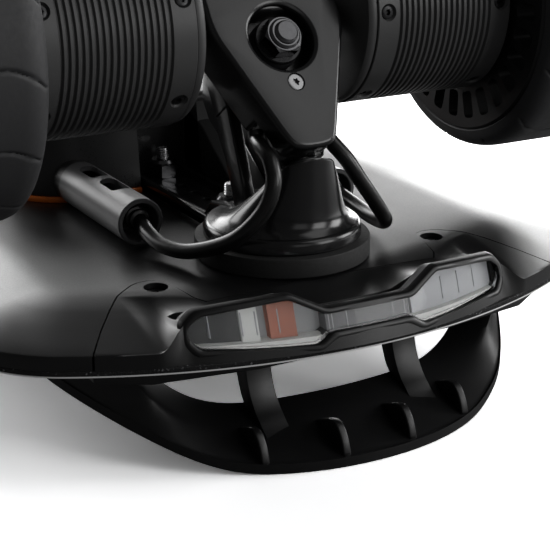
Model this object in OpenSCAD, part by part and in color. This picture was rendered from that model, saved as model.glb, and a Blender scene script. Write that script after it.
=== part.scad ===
// Electric skateboard, upside down: it stands on the skid rims of its two bumpers, wheels up.
// X runs across the board, -Y is the tail end with the motors, Z is up from the floor.

/* [Board] */
// Length over the two bumpers
board_length = 960; // [900:10:1060]
// Width of the deck
deck_width = 272; // [256:2:290]
// Thickness of the deck shell above the grip pad
deck_thick = 14.4; // [13:0.2:18]
// Thickness of the grip pad on the standing face
grip_thick = 2.5; // [1.5:0.5:4]
// Height of the grip face above the floor, set by the bumpers
bumper_height = 41; // [38:1:48]
// Height of the upright band round the deck's edge
rim_band = 5.5; // [3:0.5:6]
// How far the bevel reaches in from the deck's edge
bevel_run = 26; // [16:1:34]
// Rise of the bevel
bevel_rise = 6.5; // [4:0.5:7]
// Radius of the deck's end in plan
deck_end_r = 230; // [200:5:260]
// Radius of the deck's corners in plan
deck_corner_r = 52; // [48:1:60]
// Distance from the end of the board to the end of the deck
deck_setback = 9.8; // [9:0.2:12]

/* [Enclosure] */
// Distance from the end of the board to the end of the enclosure
enclosure_setback = 178; // [174:2:230]
// Width of the enclosure
enclosure_width = 138; // [128:2:160]
// Height of the enclosure above its gasket
enclosure_height = 38; // [32:1:44]
// Wall of the enclosure
enclosure_wall = 3; // [2.4:0.2:4]
// Radius of the enclosure's corners in plan
enclosure_corner_r = 30; // [24:1:34]
// Thickness of the gasket
gasket_thick = 2.4; // [1.6:0.2:3.2]
// Diameter of the power button
button_d = 12; // [8:0.5:16]
// Travel of the power button
button_travel = 2; // [1:0.25:2.5]

/* [Truck] */
// Distance from the end of the board to the hole in the hanger's face
truck_setback = 77.5; // [76:0.5:84]
// Height of that hole above the deck's underside
hole_height = 84.6; // [82:0.2:90]
// Lean of the kingpin above the deck plane, in degrees
kingpin_lean = 35; // [34:0.5:36]
// Distance of the axle from the hole along the board
axle_back = 31.5; // [31:0.1:33]
// Height of the axle above the hole
axle_up = 2.9; // [2.5:0.1:4.5]
// Diameter of the axle
axle_d = 10; // [8:0.5:11]
// Diameter of the kingpin
kingpin_d = 9.5; // [8:0.25:10]
// Diameter of the bushings
bushing_d = 20; // [17:0.5:20.5]
// Diameter of the hole in the hanger's face
face_hole_d = 26.6; // [26:0.2:29]
// Thickness of the riser pad
riser_thick = 7.6; // [6:0.2:9]
// Diameter of the riser pad
riser_d = 69; // [66:1:70]
// Diameter of the motor cables
cable_d = 5.6; // [4.5:0.1:6]
// Outer diameter of the cable sleeves
sleeve_d = 19.4; // [17:0.2:21]

/* [Wheels and motors] */
// Diameter of the wheels
wheel_d = 130; // [120:1:134]
// Width of the wheels
wheel_width = 55; // [48:1:60]
// Slots in each wheel flange
slot_count = 28; // [20:1:30]
// Diameter of the motor casings
motor_d = 77.2; // [72:0.4:80]
// Length of the motor casings
motor_length = 62.5; // [60:0.5:66]
// Distance between the motors' inner seams
motor_gap = 77; // [76:0.5:82]
// Cooling ribs on each motor
rib_count = 17; // [12:1:19]

/* [Light and bumper] */
// Radius of the light bar in plan
light_r = 170; // [160:2:190]
// Width of the frame round the lens
bezel_w = 2.2; // [1.6:0.2:2.8]
// Thickness of the lens
lens_thick = 3; // [2:0.5:4]
// Thickness of the bumper's skid lip
lip_thick = 3.6; // [3:0.2:5]
// Width of the bumper's struts
strut_w = 10.5; // [8:0.5:14]

/* [Hidden] */
$fn = 64;

// Clearances: fit between fixed pieces, running fit of turning pieces, gap beside moving pieces
fit = 0.05;
run = 0.04;
gap = 0.4;

// Length of the enclosure under the deck
enclosure_length = board_length - 2 * enclosure_setback;

// Levels of the board, from the floor up
core_z = bumper_height + grip_thick;
under_z = core_z + deck_thick;
lid_z = under_z + gasket_thick + enclosure_height;

// Place of the tail hanger's face hole: the nose end is the tail end turned half round
hole_y = truck_setback - board_length / 2;
hole_z = under_z + hole_height;
deck_drop = -hole_height;
tip_y = deck_setback - truck_setback;

// Kingpin frame: z runs out of the hanger's face along the kingpin, y runs up the face
face_tilt = 90 - kingpin_lean;
axle_face_y = axle_back * cos(face_tilt) + axle_up * sin(face_tilt);
axle_face_z = -axle_back * sin(face_tilt) + axle_up * cos(face_tilt);

// Stack along the kingpin, measured in from the hanger's face
recess_depth = 12;
seat_thick = 6;
seat_mid = recess_depth + seat_thick / 2;
lower_bushing_h = 14;
pad_depth = recess_depth + seat_thick + lower_bushing_h;
pad_thick = 12;
washer_thick = 1.6;
upper_bushing_h = 7;
washer_depth = recess_depth - upper_bushing_h;
nut_h = 7;
nut_af = 14;
kingpin_tip = 5;
kingpin_head_h = 6;
washer_d = 19;
kingpin_hole_d = kingpin_d + 3.5;

// Hanger
face_thick = 12;
face_half_w = 28.5;
face_tip_half_w = 9.3;
face_top = 32;
face_shoulder = 4;
face_tip = -45;
ring_r = 17;
beam_r = 10;
web_half_w = 26;
screw_drop = 18.6;
cheek_in = 16.5;
cheek_turn = -6;
cheek_foot = -29;
cheek_foot_in = 7;
cheek_foot_out = 15.4;
cheek_depth = 21;

// Pivot: a nose on the hanger turns in a cup in the baseplate's tower, on the steering axis
pivot_r = 4.2;
cup_r = 6.8;
neck_r = 10;
cup_top = -45.8;
tower_top = -48.5;
cup_bottom = -55;
pivot_tip = -50;
tower_top_r = 12.4;
tower_base_r = 25;
flange_r = 31;
flange_thick = 6;
flange_z = deck_drop + riser_thick;

// Channel of the baseplate
channel_half_w = 14;
channel_rail_w = 3.5;
channel_start = riser_d / 2 + 1;
channel_end = 116;
channel_thick = 3.6;
channel_rail_h = 2.5;
leg_w = 5;
leg_foot = 46;
// Back edge of the kingpin pad's two legs, from the pad down to the flange
leg_back = [[42, -31], [36, -38.5], [29, -42.5], [22.5, -51], [17, -63], [15, -69], [36, -72]];
base_bolt_d = 6;
base_bolt_y = [43, 109];
channel_hole_y = [66, 78, 90];
channel_hole_d = 4;

// Motor and wheel places along the axle, measured from the middle
motor_in = motor_gap / 2;
motor_out = motor_in + motor_length;
cap_thick = 4.1;
casing_wall = 3.4;
casing_end = 3.5;
stator_r = 27;
stator_gap = 10;
stator_h = 32;
rotor_wall = 5;
rotor_r = motor_d / 2 - casing_wall - 1.6;
rotor_start = motor_in + casing_end + 4;
rotor_end = motor_out - 6;
rotor_disc = 5;
drive_r = 24;
wheel_in = motor_out + 2;
wheel_out = wheel_in + wheel_width;
ring_w = 9;
screw_head_r = 3.1;
screw_head_h = 1.6;
left_screw_turn = 53;
right_screw_turn = 25;

// Wheel
barrel_r = 40;
flange_rim_r = wheel_d / 2 - 8;
wheel_flange_w = 8;
bearing_r = 11;
bearing_w = 6;
slot_w = 6.4;
slot_in = 40.5;
slot_out = flange_rim_r - 5;
axle_nut_h = 7;
axle_nut_r = 8.5;

// Light bar, heights from the grip face up
bar_depth = 22;
bar_lean = 8.4;
bar_front = tip_y - 2.6;
lens_set = 1;
cavity_depth = 15;
light_board_thick = 1.6;
ear_x = 61.3;
ear_in = 53.4;
ear_dip = 1.2;
ear_screw_r = 3.6;
ear_screw_h = 2.6;
ear_shank_r = 1.7;

// Sleeves and cables
sleeve_x = 45;
sleeve_end = 34;
sleeve_wall = 2;
sleeve_plug = 50;
sleeve_block_out = 3;
enclosure_end = enclosure_setback - truck_setback;

// Routes of the motor cables, measured from the hanger's face hole
left_route = [[-13.7, -3.8, -34.3], [-14.4, -6, -37.2], [-16.4, -14, -38.4], [-17.4, -22, -41], [-19, -27, -49],
    [-23, -25, -60], [-31, -17, -71], [-40, -1, -78.2], [-45, 13, -79.4], [-46, 25, -77.5],
    [-45, 36, -75], [-45, 44, -75], [-45, 50, -75]];
right_route = [[13.7, -3.1, -34], [14.4, -5.4, -37], [16.4, -10, -41], [20.5, -14, -47], [25.5, -15.5, -55],
    [31.5, -16, -63.6], [37.5, -15, -72], [42, -8, -77], [45, 6, -79], [46, 20, -78], [45, 36, -75],
    [45, 44, -75], [45, 50, -75]];

// Puts a tail-end piece at its place, or at the nose
module at_end(end) {
    rotate([0, 0, end == "nose" ? 180 : 0])
        translate([0, hole_y, hole_z])
            children();
}

// Turns a piece into the kingpin frame
module on_face() {
    rotate([face_tilt, 0, 0])
        children();
}

// Lays a piece that is drawn along Z along the axle, on one side of the middle
module on_axle(side) {
    translate([0, axle_back, axle_up])
        rotate([0, side * 90, 0])
            children();
}

module at_wheel(end, side) {
    at_end(end)
        on_axle(side)
            children();
}

module tube(outer_r, inner_r, from, to) {
    translate([0, 0, from])
        difference() {
            cylinder(r = outer_r, h = to - from);
            translate([0, 0, -1])
                cylinder(r = inner_r, h = to - from + 2);
        }
}

module hexagon(across_flats, h) {
    cylinder(r = across_flats / sqrt(3), h = h, $fn = 6);
}

function arc(c, r, from, to, n) =
    [for (i = [0 : n]) let (a = from + (to - from) * i / n) c + r * [cos(a), sin(a)]];

// Closed solid through rings of equally many points, bottom ring first, counterclockwise
module loft(rings) {
    n = len(rings[0]);
    m = len(rings);
    sides = [for (j = [0 : m - 2], i = [0 : n - 1])
        let (a = j * n + i, b = j * n + (i + 1) % n)
            each [[a, a + n, b + n], [a, b + n, b]]];
    bottom = [for (i = [0 : n - 1]) i];
    top = [for (i = [n - 1 : -1 : 0]) (m - 1) * n + i];
    polyhedron(points = [for (r = rings) each r], faces = concat([bottom], sides, [top]));
}

function at_height(points, z) = [for (p = points) [p[0], p[1], z]];

// Outline of the deck in plan, drawn in by an inset
corner_x = deck_width / 2 - deck_corner_r;
end_centre_y = deck_setback - board_length / 2 + deck_end_r;
corner_y = end_centre_y - sqrt(pow(deck_end_r - deck_corner_r, 2) - pow(corner_x, 2));
corner_turn = atan2(end_centre_y - corner_y, corner_x);

function deck_end(inset) = concat(
    arc([-corner_x, corner_y], deck_corner_r - inset, 180, 180 + corner_turn, 8),
    arc([0, end_centre_y], deck_end_r - inset, 180 + corner_turn, 360 - corner_turn, 12),
    arc([corner_x, corner_y], deck_corner_r - inset, 360 - corner_turn, 360, 8));
function deck_outline(inset) = let (e = deck_end(inset)) concat(e, -e);

dome_run = bevel_run + 14;

module deck_body() {
    loft([at_height(deck_outline(0), core_z),
        at_height(deck_outline(0), core_z + rim_band),
        at_height(deck_outline(bevel_run), core_z + rim_band + bevel_rise),
        at_height(deck_outline(dome_run), under_z)]);
}

// Plan of the light housing's seat, measured in from the deck's tip and grown by a gap
function seat_side(g) = [[50 - g, 31.7 + g], [51 - g, 55.7], [56, 61.2 + g], [66 + g, 61.2 + g],
    [77 + g, 52.2 + g], [91 + g, 34.7], [104 + g, 15.7], [104 + g, -22]];
function seat_plan(g) = concat(seat_side(g), [for (i = [7 : -1 : 0]) let (p = seat_side(g)[i]) [-p[0], p[1]]]);

module light_seat(end, g) {
    at_end(end)
        translate([0, tip_y, core_z - hole_z - 1])
            linear_extrude(deck_thick + 12)
                polygon(seat_plan(g));
}

module base_bolt_holes(end, d) {
    at_end(end)
        for (y = base_bolt_y)
            translate([0, y, core_z - hole_z - 1])
                cylinder(d = d, h = deck_thick + 12);
}

module deck() {
    color("#1b1b1d")
        difference() {
            deck_body();
            for (end = ["tail", "nose"]) {
                light_seat(end, gap);
                base_bolt_holes(end, base_bolt_d + 2 * fit);
            }
        }
}

module grip_pad() {
    color("#111112")
        loft([at_height(deck_outline(0.6), bumper_height), at_height(deck_outline(0), core_z)]);
}

// Rounded rectangle in plan
function box_outline(length, width, r) = let (x = width / 2 - r, y = length / 2 - r) concat(
    arc([-x, -y], r, 180, 270, 8), arc([x, -y], r, 270, 360, 8),
    arc([x, y], r, 0, 90, 8), arc([-x, y], r, 90, 180, 8));
function enclosure_outline(inset) = box_outline(enclosure_length - 2 * inset,
    enclosure_width - 2 * inset, enclosure_corner_r - inset);

enclosure_z = under_z + gasket_thick;
draft = 4;
lid_round = 5;
trough_half_w = channel_half_w + 1;
trough_back = channel_end + 2;
prong_tip = 66;
prong_half_w = 31;
boss_r = 5.5;
boss_in = 13;
lid_screw_r = 3.4;
lid_screw_h = 2.4;
lid_shank_r = 2;
boss_y = [for (i = [-1.5 : 1 : 1.5]) i * (enclosure_length - 90) / 3];
boss_x = enclosure_width / 2 - boss_in;
button_y = 60;
port_y = -60;
port_d = 14;
port_in = 9;
port_len = port_in + 1.4;
side_rise = 16;
side_z = enclosure_z + side_rise;
button_out = button_travel + 1;
button_flange_d = button_d + 4;
button_flange_w = 2;
button_len = 12;

module enclosure_shell(inset, base, top) {
    loft([at_height(enclosure_outline(inset), base),
        at_height(enclosure_outline(inset + draft), top - lid_round),
        at_height(enclosure_outline(inset + draft + lid_round), top)]);
}

// Sloping cheek on the right of the truck's channel: the left side is open to the channel's bolts
module enclosure_prong(end) {
    top = enclosure_height + gasket_thick - hole_height;
    foot = gasket_thick - hole_height;
    at_end(end)
        translate([trough_half_w, 0, 0])
            rotate([90, 0, 90])
                linear_extrude(prong_half_w - trough_half_w)
                    polygon([[prong_tip, foot], [prong_tip, foot + 2], [enclosure_end - 2, top - 14],
                        [trough_back, top - 6], [trough_back, foot]]);
}

// Blocks on the enclosure's tail end that the cable sleeves butt against
module sleeve_blocks() {
    block_depth = 12;
    at_end("tail")
        for (side = [-1, 1])
            translate([side * sleeve_x - sleeve_d / 2 - 1, enclosure_end - sleeve_block_out, deck_drop + gasket_thick])
                cube([sleeve_d + 2, block_depth, sleeve_d - gasket_thick + 1]);
}

module trough(end) {
    at_end(end)
        translate([-trough_half_w, 0, deck_drop])
            cube([2 * trough_half_w, trough_back, enclosure_height + gasket_thick + 1]);
}

module at_bosses() {
    for (x = [-boss_x, boss_x], y = boss_y)
        translate([x, y, 0])
            children();
}

module enclosure() {
    color("#17171a")
        difference() {
            union() {
                difference() {
                    enclosure_shell(0, enclosure_z, lid_z);
                    difference() {
                        translate([0, 0, -1])
                            enclosure_shell(enclosure_wall, enclosure_z, lid_z - enclosure_wall + 1);
                        for (end = ["tail", "nose"])
                            at_end(end)
                                translate([-prong_half_w, 0, deck_drop])
                                    cube([2 * prong_half_w, trough_back + enclosure_wall, hole_height]);
                    }
                }
                for (end = ["tail", "nose"])
                    enclosure_prong(end);
                sleeve_blocks();
                at_bosses()
                    translate([0, 0, enclosure_z])
                        cylinder(r = boss_r, h = enclosure_height - 1);
            }
            for (end = ["tail", "nose"])
                trough(end);
            at_bosses() {
                translate([0, 0, enclosure_z - 1])
                    cylinder(r = lid_shank_r + fit, h = enclosure_height + 2);
                translate([0, 0, lid_z - lid_screw_h])
                    cylinder(r = lid_screw_r + fit, h = lid_screw_h + 1);
            }
            translate([0, button_y, side_z])
                rotate([0, 90, 0])
                    cylinder(d = button_d + 2 * run, h = enclosure_width);
            translate([0, port_y, side_z])
                rotate([0, -90, 0])
                    cylinder(d = port_d + 2 * fit, h = enclosure_width);
        }
}

module enclosure_gasket() {
    gasket_w = 9;
    color("#f26a1b")
        difference() {
            translate([0, 0, under_z])
                linear_extrude(gasket_thick)
                    difference() {
                        polygon(enclosure_outline(-1.2));
                        polygon(enclosure_outline(gasket_w));
                    }
            for (end = ["tail", "nose"])
                trough(end);
        }
}

module enclosure_screws() {
    color("#3a3a3d")
        at_bosses() {
            translate([0, 0, under_z + gasket_thick])
                cylinder(r = lid_shank_r, h = enclosure_height - lid_screw_h);
            translate([0, 0, lid_z - lid_screw_h])
                difference() {
                    cylinder(r = lid_screw_r, h = lid_screw_h);
                    translate([0, 0, lid_screw_h - 1.4])
                        hexagon(2.5, 2);
                }
        }
}

battery_length = 330;
battery_y = 40;
battery_width = 2 * (boss_x - boss_r) - 6;
controller_length = 110;
controller_gap = 10;
controller_y = battery_y - (battery_length + controller_length) / 2 - controller_gap;
fin_h = 10;
inner_h = enclosure_height - enclosure_wall - 1;

module inner_block(length, y, width, h) {
    translate([-width / 2, y - length / 2, under_z])
        cube([width, length, h]);
}

module battery_pack() {
    color("#2f5d8a")
        inner_block(battery_length, battery_y, battery_width, gasket_thick + inner_h - 2);
}

module speed_controller() {
    color("#8a8d91")
        difference() {
            inner_block(controller_length, controller_y, battery_width - 10, gasket_thick + inner_h - 6);
            for (x = [-30 : 12 : 30])
                translate([x, controller_y, under_z + gasket_thick + inner_h - fin_h])
                    cube([5, controller_length + 2, fin_h], center = true);
        }
}

side_wall_x = enclosure_width / 2 - draft * side_rise / (enclosure_height - lid_round);

module charge_port() {
    color("#2a2a2c")
        translate([-side_wall_x + port_in, port_y, side_z])
            rotate([0, -90, 0])
                difference() {
                    union() {
                        cylinder(d = port_d, h = port_len);
                        translate([0, 0, port_len])
                            cylinder(d = port_d + 5, h = 2);
                    }
                    translate([0, 0, 2])
                        cylinder(d = port_d - 4, h = 20);
                }
}

module power_button() {
    color("#b8babd")
        translate([side_wall_x + button_out - button_len, button_y, side_z])
            rotate([0, 90, 0]) {
                cylinder(d = button_d, h = button_len);
                translate([0, 0, button_len - button_out - enclosure_wall - button_flange_w - 1.4])
                    cylinder(d = button_flange_d, h = button_flange_w);
            }
}

// Bow-tie front outline of the light bar, drawn in by an inset; heights are from the grip face
function bar_half(i) = [[17.8 + i / 2, 16.9 - i], [30.8 + i / 4, 23.3 - i], [64 - i, 20 - i],
    [68.6 - i, 15.6 - i / 2], [69 - i, 8.6 + i], [65.5 - i, 4.6 + i], [21.2 + i / 2, 2.9 + i], [14.9 + i, 6.4 + i]];
function bar_front_plan(i) = concat(bar_half(i),
    [for (k = [7 : -1 : 0]) let (p = bar_half(i)[k]) [-p[0], p[1]]]);

// Part of the curved bar between two depths behind its leaning front face
module bar_slice(inset, front, back) {
    bar_h = 25;
    bar_reach = 90;
    intersection() {
        translate([0, 0, bumper_height - hole_z])
            rotate([90, 0, 0])
                linear_extrude(bar_reach)
                    polygon(bar_front_plan(inset));
        translate([0, bar_front + light_r, bumper_height - hole_z])
            difference() {
                cylinder(r1 = light_r - front, r2 = light_r - front - bar_lean, h = bar_h, $fn = 128);
                translate([0, 0, -0.01])
                    cylinder(r1 = light_r - back, r2 = light_r - back - bar_lean, h = bar_h + 0.02, $fn = 128);
            }
    }
}

module ear_places() {
    for (side = [-1, 1])
        translate([side * ear_x, tip_y + ear_in, 0])
            children();
}

module light_housing(end) {
    ear_top = deck_drop - ear_dip;
    color("#151517")
        difference() {
            union() {
                intersection() {
                    deck_body();
                    light_seat(end, 0);
                }
                at_end(end)
                    bar_slice(0, 0, bar_depth);
            }
            at_end(end) {
                bar_slice(bezel_w, -5, cavity_depth);
                ear_places() {
                    translate([0, 0, ear_top - ear_screw_h])
                        cylinder(r = ear_screw_r + fit, h = 20);
                    translate([0, 0, core_z - hole_z - 1])
                        cylinder(r = ear_shank_r + fit, h = 20);
                }
            }
        }
}

module light_lens(end) {
    color("#dfe6ea", 0.6)
        at_end(end)
            bar_slice(bezel_w + fit, lens_set, lens_set + lens_thick);
}

module light_boards() {
    color("#c9ccd0")
        for (end = ["tail", "nose"])
            at_end(end)
                bar_slice(bezel_w + 2 * fit, cavity_depth - light_board_thick, cavity_depth - fit);
}

module end_screws() {
    color("#2c2c2f")
        for (end = ["tail", "nose"])
            at_end(end) {
                ear_top = deck_drop - ear_dip;
                ear_places() {
                    difference() {
                        translate([0, 0, ear_top - ear_screw_h])
                            cylinder(r = ear_screw_r, h = ear_screw_h - 0.4);
                        translate([0, 0, ear_top - 1.6])
                            hexagon(2.5, 4);
                    }
                    translate([0, 0, core_z - hole_z])
                        cylinder(r = ear_shank_r, h = ear_top - ear_screw_h - core_z + hole_z);
                }
            }
}

// Bumper: stations of the skid lip from the middle to one flank, as rim, crest and inner edge.
// They are measured in from the end of the board, and up from the floor for a drawn height
drawn_height = 41;
floor_drop = -hole_z;
deck_face = bumper_height - hole_z;

bumper_last = 8;
function bumper_rim(i) = [[0, 0, 0], [26, 3, 0], [48, 12, 0], [60, 19.5, 2.5], [70, 26, 7],
    [80, 37.5, 12], [91, 54.5, 18], [100, 71, 24], [104, 82, 28]][i];
function bumper_crest(i) = [[0, 16, 6], [24, 19, 6], [44, 26, 7], [57, 32, 10], [67, 36.7, 16],
    [74.5, 40.4, 22], [79, 43, 29], [84, 46, 36], [90, 57, 37]][i];
function bumper_inner(i) = [[0, 37, 15], [22, 38.5, 15], [36, 41, 15], [45, 44, 15.3], [54, 46.8, 18],
    [60, 49.3, 21.2], [66, 52, 26], [74, 57, 33], [80, 61, 37]][i];

// Height of a station point, stretched with the bumper's own height
function bumper_z(z) = z * bumper_height / drawn_height + floor_drop;
function bumper_point(p, side, lift) = [side * p[0], p[1], bumper_z(p[2]) + lift];
function bumper_ring(i, side) = [
    bumper_point(bumper_rim(i) + [0, 3, 0], side, 0),
    bumper_point(bumper_crest(i), side, 1 - lip_thick),
    bumper_point(bumper_inner(i), side, -lip_thick),
    bumper_point(bumper_inner(i), side, 0),
    bumper_point(bumper_crest(i), side, 2),
    bumper_point(bumper_rim(i), side, 4),
    bumper_point(bumper_rim(i), side, 0)];

module bumper_lip() {
    rings = concat([for (i = [bumper_last : -1 : 1]) bumper_ring(i, -1)],
        [for (i = [0 : bumper_last]) bumper_ring(i, 1)]);
    loft(rings);
}

strut_x = 32;
rib_x = [-43.5, -14.3, 14.3, 43.5];
rib_w = 3;
rim_curve = 0.0047;
bumper_flange_h = 5;

module bumper_strut() {
    top = deck_face;
    rotate([90, 0, 90])
        translate([0, 0, -strut_w / 2])
            linear_extrude(strut_w)
                polygon([[50, top], [39.8, top], [39.2, bumper_z(34)], [38.2, bumper_z(28)], [36.6, bumper_z(23)],
                    [34.3, bumper_z(18.5)], [31.5, bumper_z(14.8)], [28, bumper_z(12)], [24, bumper_z(9.8)],
                    [18, bumper_z(7.8)], [18, bumper_z(5.6)], [30, bumper_z(9.5)], [38, bumper_z(13.6)],
                    [42.4, bumper_z(17)], [45.6, bumper_z(24)], [48.2, bumper_z(32)]]);
}

module bumper_rib(x) {
    y = rim_curve * x * x;
    translate([x - rib_w / 2, y, 0])
        rotate([90, 0, 90])
            linear_extrude(rib_w)
                polygon([[2, bumper_z(2)], [4, bumper_z(9)], [8, bumper_z(14)], [13, bumper_z(14.5)], [24, bumper_z(10)],
                    [24, bumper_z(7.4)], [14, bumper_z(5)]]);
}

module bumper_flange() {
    flange_in = 8;
    flange_out = 44;
    translate([0, deck_setback + flange_in, deck_face - bumper_flange_h])
        linear_extrude(bumper_flange_h)
            polygon([[-97, flange_out - 6], [-97, flange_in + 13], [-80, flange_in + 2], [-40, flange_in - 4],
                [40, flange_in - 4], [80, flange_in + 2], [97, flange_in + 13], [97, flange_out - 6],
                [60, flange_out], [-60, flange_out]]);
}

module bumper(end) {
    color("#161618")
        at_end(end)
            translate([0, -truck_setback, 0]) {
                bumper_lip();
                for (side = [-1, 1])
                    translate([side * strut_x, 0, 0])
                        bumper_strut();
                for (x = rib_x)
                    bumper_rib(x);
                bumper_flange();
            }
}

module riser_pads() {
    color("#222224")
        for (end = ["tail", "nose"])
            at_end(end)
                translate([0, 0, deck_drop])
                    cylinder(d = riser_d, h = riser_thick);
}

// Truck baseplate: pivot tower on a round flange, kingpin pad on two legs, bolted channel
module pivot_tower() {
    hull() {
        translate([0, 0, flange_z + 1])
            cylinder(r = tower_base_r, h = 1, $fn = 32);
        on_face()
            translate([0, tower_top, -seat_mid])
                rotate([90, 0, 0])
                    cylinder(r = tower_top_r, h = 1, $fn = 32);
    }
}

function face_to_board(y, z) = [y * cos(face_tilt) - z * sin(face_tilt), y * sin(face_tilt) + z * cos(face_tilt)];

pad_top = 10;
pad_bottom = -13;

module kingpin_legs() {
    foot_z = deck_drop + channel_thick / 2;
    leg_in = 0.6;
    leg_base = flange_z + 1;
    for (x = [leg_in - channel_half_w, channel_half_w - leg_w - leg_in])
        translate([x, 0, 0])
            rotate([90, 0, 90])
                linear_extrude(leg_w)
                    polygon(concat([face_to_board(pad_bottom + 1, -pad_depth - 1), face_to_board(pad_top - 1, -pad_depth - 1),
                        face_to_board(pad_top - 1, -pad_depth - pad_thick + 1)], leg_back,
                        [[leg_foot, foot_z], [channel_start + 1, foot_z], [channel_start + 1, leg_base], [0, leg_base]]));
}

module kingpin_pad() {
    on_face()
        translate([-channel_half_w, pad_bottom, -pad_depth - pad_thick])
            cube([2 * channel_half_w, pad_top - pad_bottom, pad_thick]);
}

module channel() {
    translate([-channel_half_w, channel_start, deck_drop])
        cube([2 * channel_half_w, channel_end - channel_start, channel_thick]);
    for (x = [-channel_half_w, channel_half_w - channel_rail_w])
        translate([x, channel_start, deck_drop])
            cube([channel_rail_w, channel_end - channel_start, channel_thick + channel_rail_h]);
}

module baseplate(end) {
    color("#1d1d20")
        at_end(end)
            difference() {
                union() {
                    translate([0, 0, flange_z])
                        cylinder(r = flange_r, h = flange_thick);
                    pivot_tower();
                    kingpin_legs();
                    kingpin_pad();
                    channel();
                }
                on_face() {
                    translate([0, cup_top + 10, -seat_mid])
                        rotate([90, 0, 0])
                            cylinder(r = cup_r + fit, h = cup_top + 10 - cup_bottom);
                    translate([0, 0, -pad_depth - pad_thick - 20])
                        cylinder(d = kingpin_d + 2 * fit, h = 40);
                }
                for (y = base_bolt_y)
                    translate([0, y, deck_drop - 1])
                        cylinder(d = base_bolt_d + 2 * fit, h = 20);
                for (y = channel_hole_y)
                    translate([0, y, deck_drop - 1])
                        cylinder(d = channel_hole_d, h = 20);
            }
}

module base_bolts() {
    base_nut_h = 6.5;
    base_nut_af = 10.5;
    base_flange_r = 6.6;
    base_flange_h = 1.6;
    bolt_over = 17;
    color("#c4c6c9")
        for (end = ["tail", "nose"])
            at_end(end)
                for (y = base_bolt_y)
                    translate([0, y, 0]) {
                        translate([0, 0, core_z - hole_z])
                            cylinder(d = base_bolt_d, h = deck_thick + channel_thick + bolt_over);
                        translate([0, 0, deck_drop + channel_thick])
                            difference() {
                                union() {
                                    cylinder(r = base_flange_r, h = base_flange_h);
                                    hexagon(base_nut_af, base_nut_h + base_flange_h);
                                }
                                translate([0, 0, -1])
                                    cylinder(d = base_bolt_d, h = base_nut_h + 5);
                            }
                    }
}

module pivot_cups() {
    color("#0f0f10")
        for (end = ["tail", "nose"])
            at_end(end)
                on_face()
                    translate([0, cup_top, -seat_mid])
                        rotate([90, 0, 0])
                            difference() {
                                cylinder(r = cup_r, h = cup_top - cup_bottom);
                                translate([0, 0, -1])
                                    cylinder(r = pivot_r + run, h = cup_top - pivot_tip + 1);
                                translate([0, 0, cup_top - pivot_tip])
                                    sphere(r = pivot_r + run);
                            }
}

module kingpins() {
    tip_chamfer = 1;
    color("#c9cbce")
        for (end = ["tail", "nose"])
            at_end(end)
                on_face()
                    translate([0, 0, -pad_depth - pad_thick]) {
                        cylinder(d = kingpin_d, h = pad_depth + pad_thick + kingpin_tip - tip_chamfer);
                        translate([0, 0, pad_depth + pad_thick + kingpin_tip - tip_chamfer])
                            cylinder(d1 = kingpin_d, d2 = kingpin_d - 2 * tip_chamfer, h = tip_chamfer);
                        translate([0, 0, -kingpin_head_h])
                            hexagon(nut_af, kingpin_head_h);
                    }
}

module kingpin_nuts() {
    color("#b9bbbe")
        for (end = ["tail", "nose"])
            at_end(end)
                on_face()
                    translate([0, 0, -washer_depth + washer_thick])
                        difference() {
                            hexagon(nut_af, nut_h);
                            translate([0, 0, -1])
                                cylinder(d = kingpin_d + 2 * fit, h = nut_h + 2);
                        }
}

module bushing_washers() {
    color("#9c9ea2")
        for (end = ["tail", "nose"])
            at_end(end)
                on_face()
                    tube(washer_d / 2, kingpin_d / 2 + fit, -washer_depth, -washer_depth + washer_thick);
}

module lower_bushing(end) {
    color("#303034")
        at_end(end)
            on_face()
                tube(bushing_d / 2, kingpin_d / 2 + 2 * fit, -pad_depth, -recess_depth - seat_thick);
}

module upper_bushing(end) {
    color("#303034")
        at_end(end)
            on_face()
                tube(washer_d / 2 + 0.5, kingpin_d / 2 + 2 * fit, -recess_depth, -washer_depth);
}

// Cable sleeve: a tube with two windows, flat where it lies on the deck
module cable_sleeve(side) {
    r = sleeve_d / 2;
    flat = 0.8;
    window_w = 8;
    window_l = 20;
    length = enclosure_end - sleeve_block_out - sleeve_end;
    color("#4a4a4e")
        at_end("tail")
            translate([side * sleeve_x, sleeve_end, deck_drop + r - flat])
                difference() {
                    rotate([-90, 0, 0])
                        difference() {
                            cylinder(r = r, h = length);
                            translate([0, 0, -1])
                                cylinder(r = r - sleeve_wall, h = sleeve_plug - sleeve_end + 1);
                            translate([0, 0, sleeve_plug - sleeve_end + 4])
                                cylinder(r = r - sleeve_wall, h = length);
                        }
                    translate([-r, -1, -r - 10 + flat])
                        cube([2 * r, length + 2, 10]);
                    for (y = [length * 0.42, length * 0.78])
                        translate([0, y, 0])
                            linear_extrude(20)
                                square([window_w, window_l - 4], center = true);
                }
}

// Round tube swept along a smooth curve through hand-chosen points
function blend_point(a, b, c, d, t) = 0.5 * (2 * b + (c - a) * t + (2 * a - 5 * b + 4 * c - d) * t * t
    + (3 * b - a - 3 * c + d) * t * t * t);
function smooth_route(p, steps) = let (n = len(p)) concat(
    [for (i = [0 : n - 2], k = [0 : steps - 1])
        blend_point(i == 0 ? 2 * p[0] - p[1] : p[i - 1], p[i], p[i + 1],
            i == n - 2 ? 2 * p[n - 1] - p[n - 2] : p[i + 2], k / steps)],
    [p[n - 1]]);
function unit(v) = v / norm(v);

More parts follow.
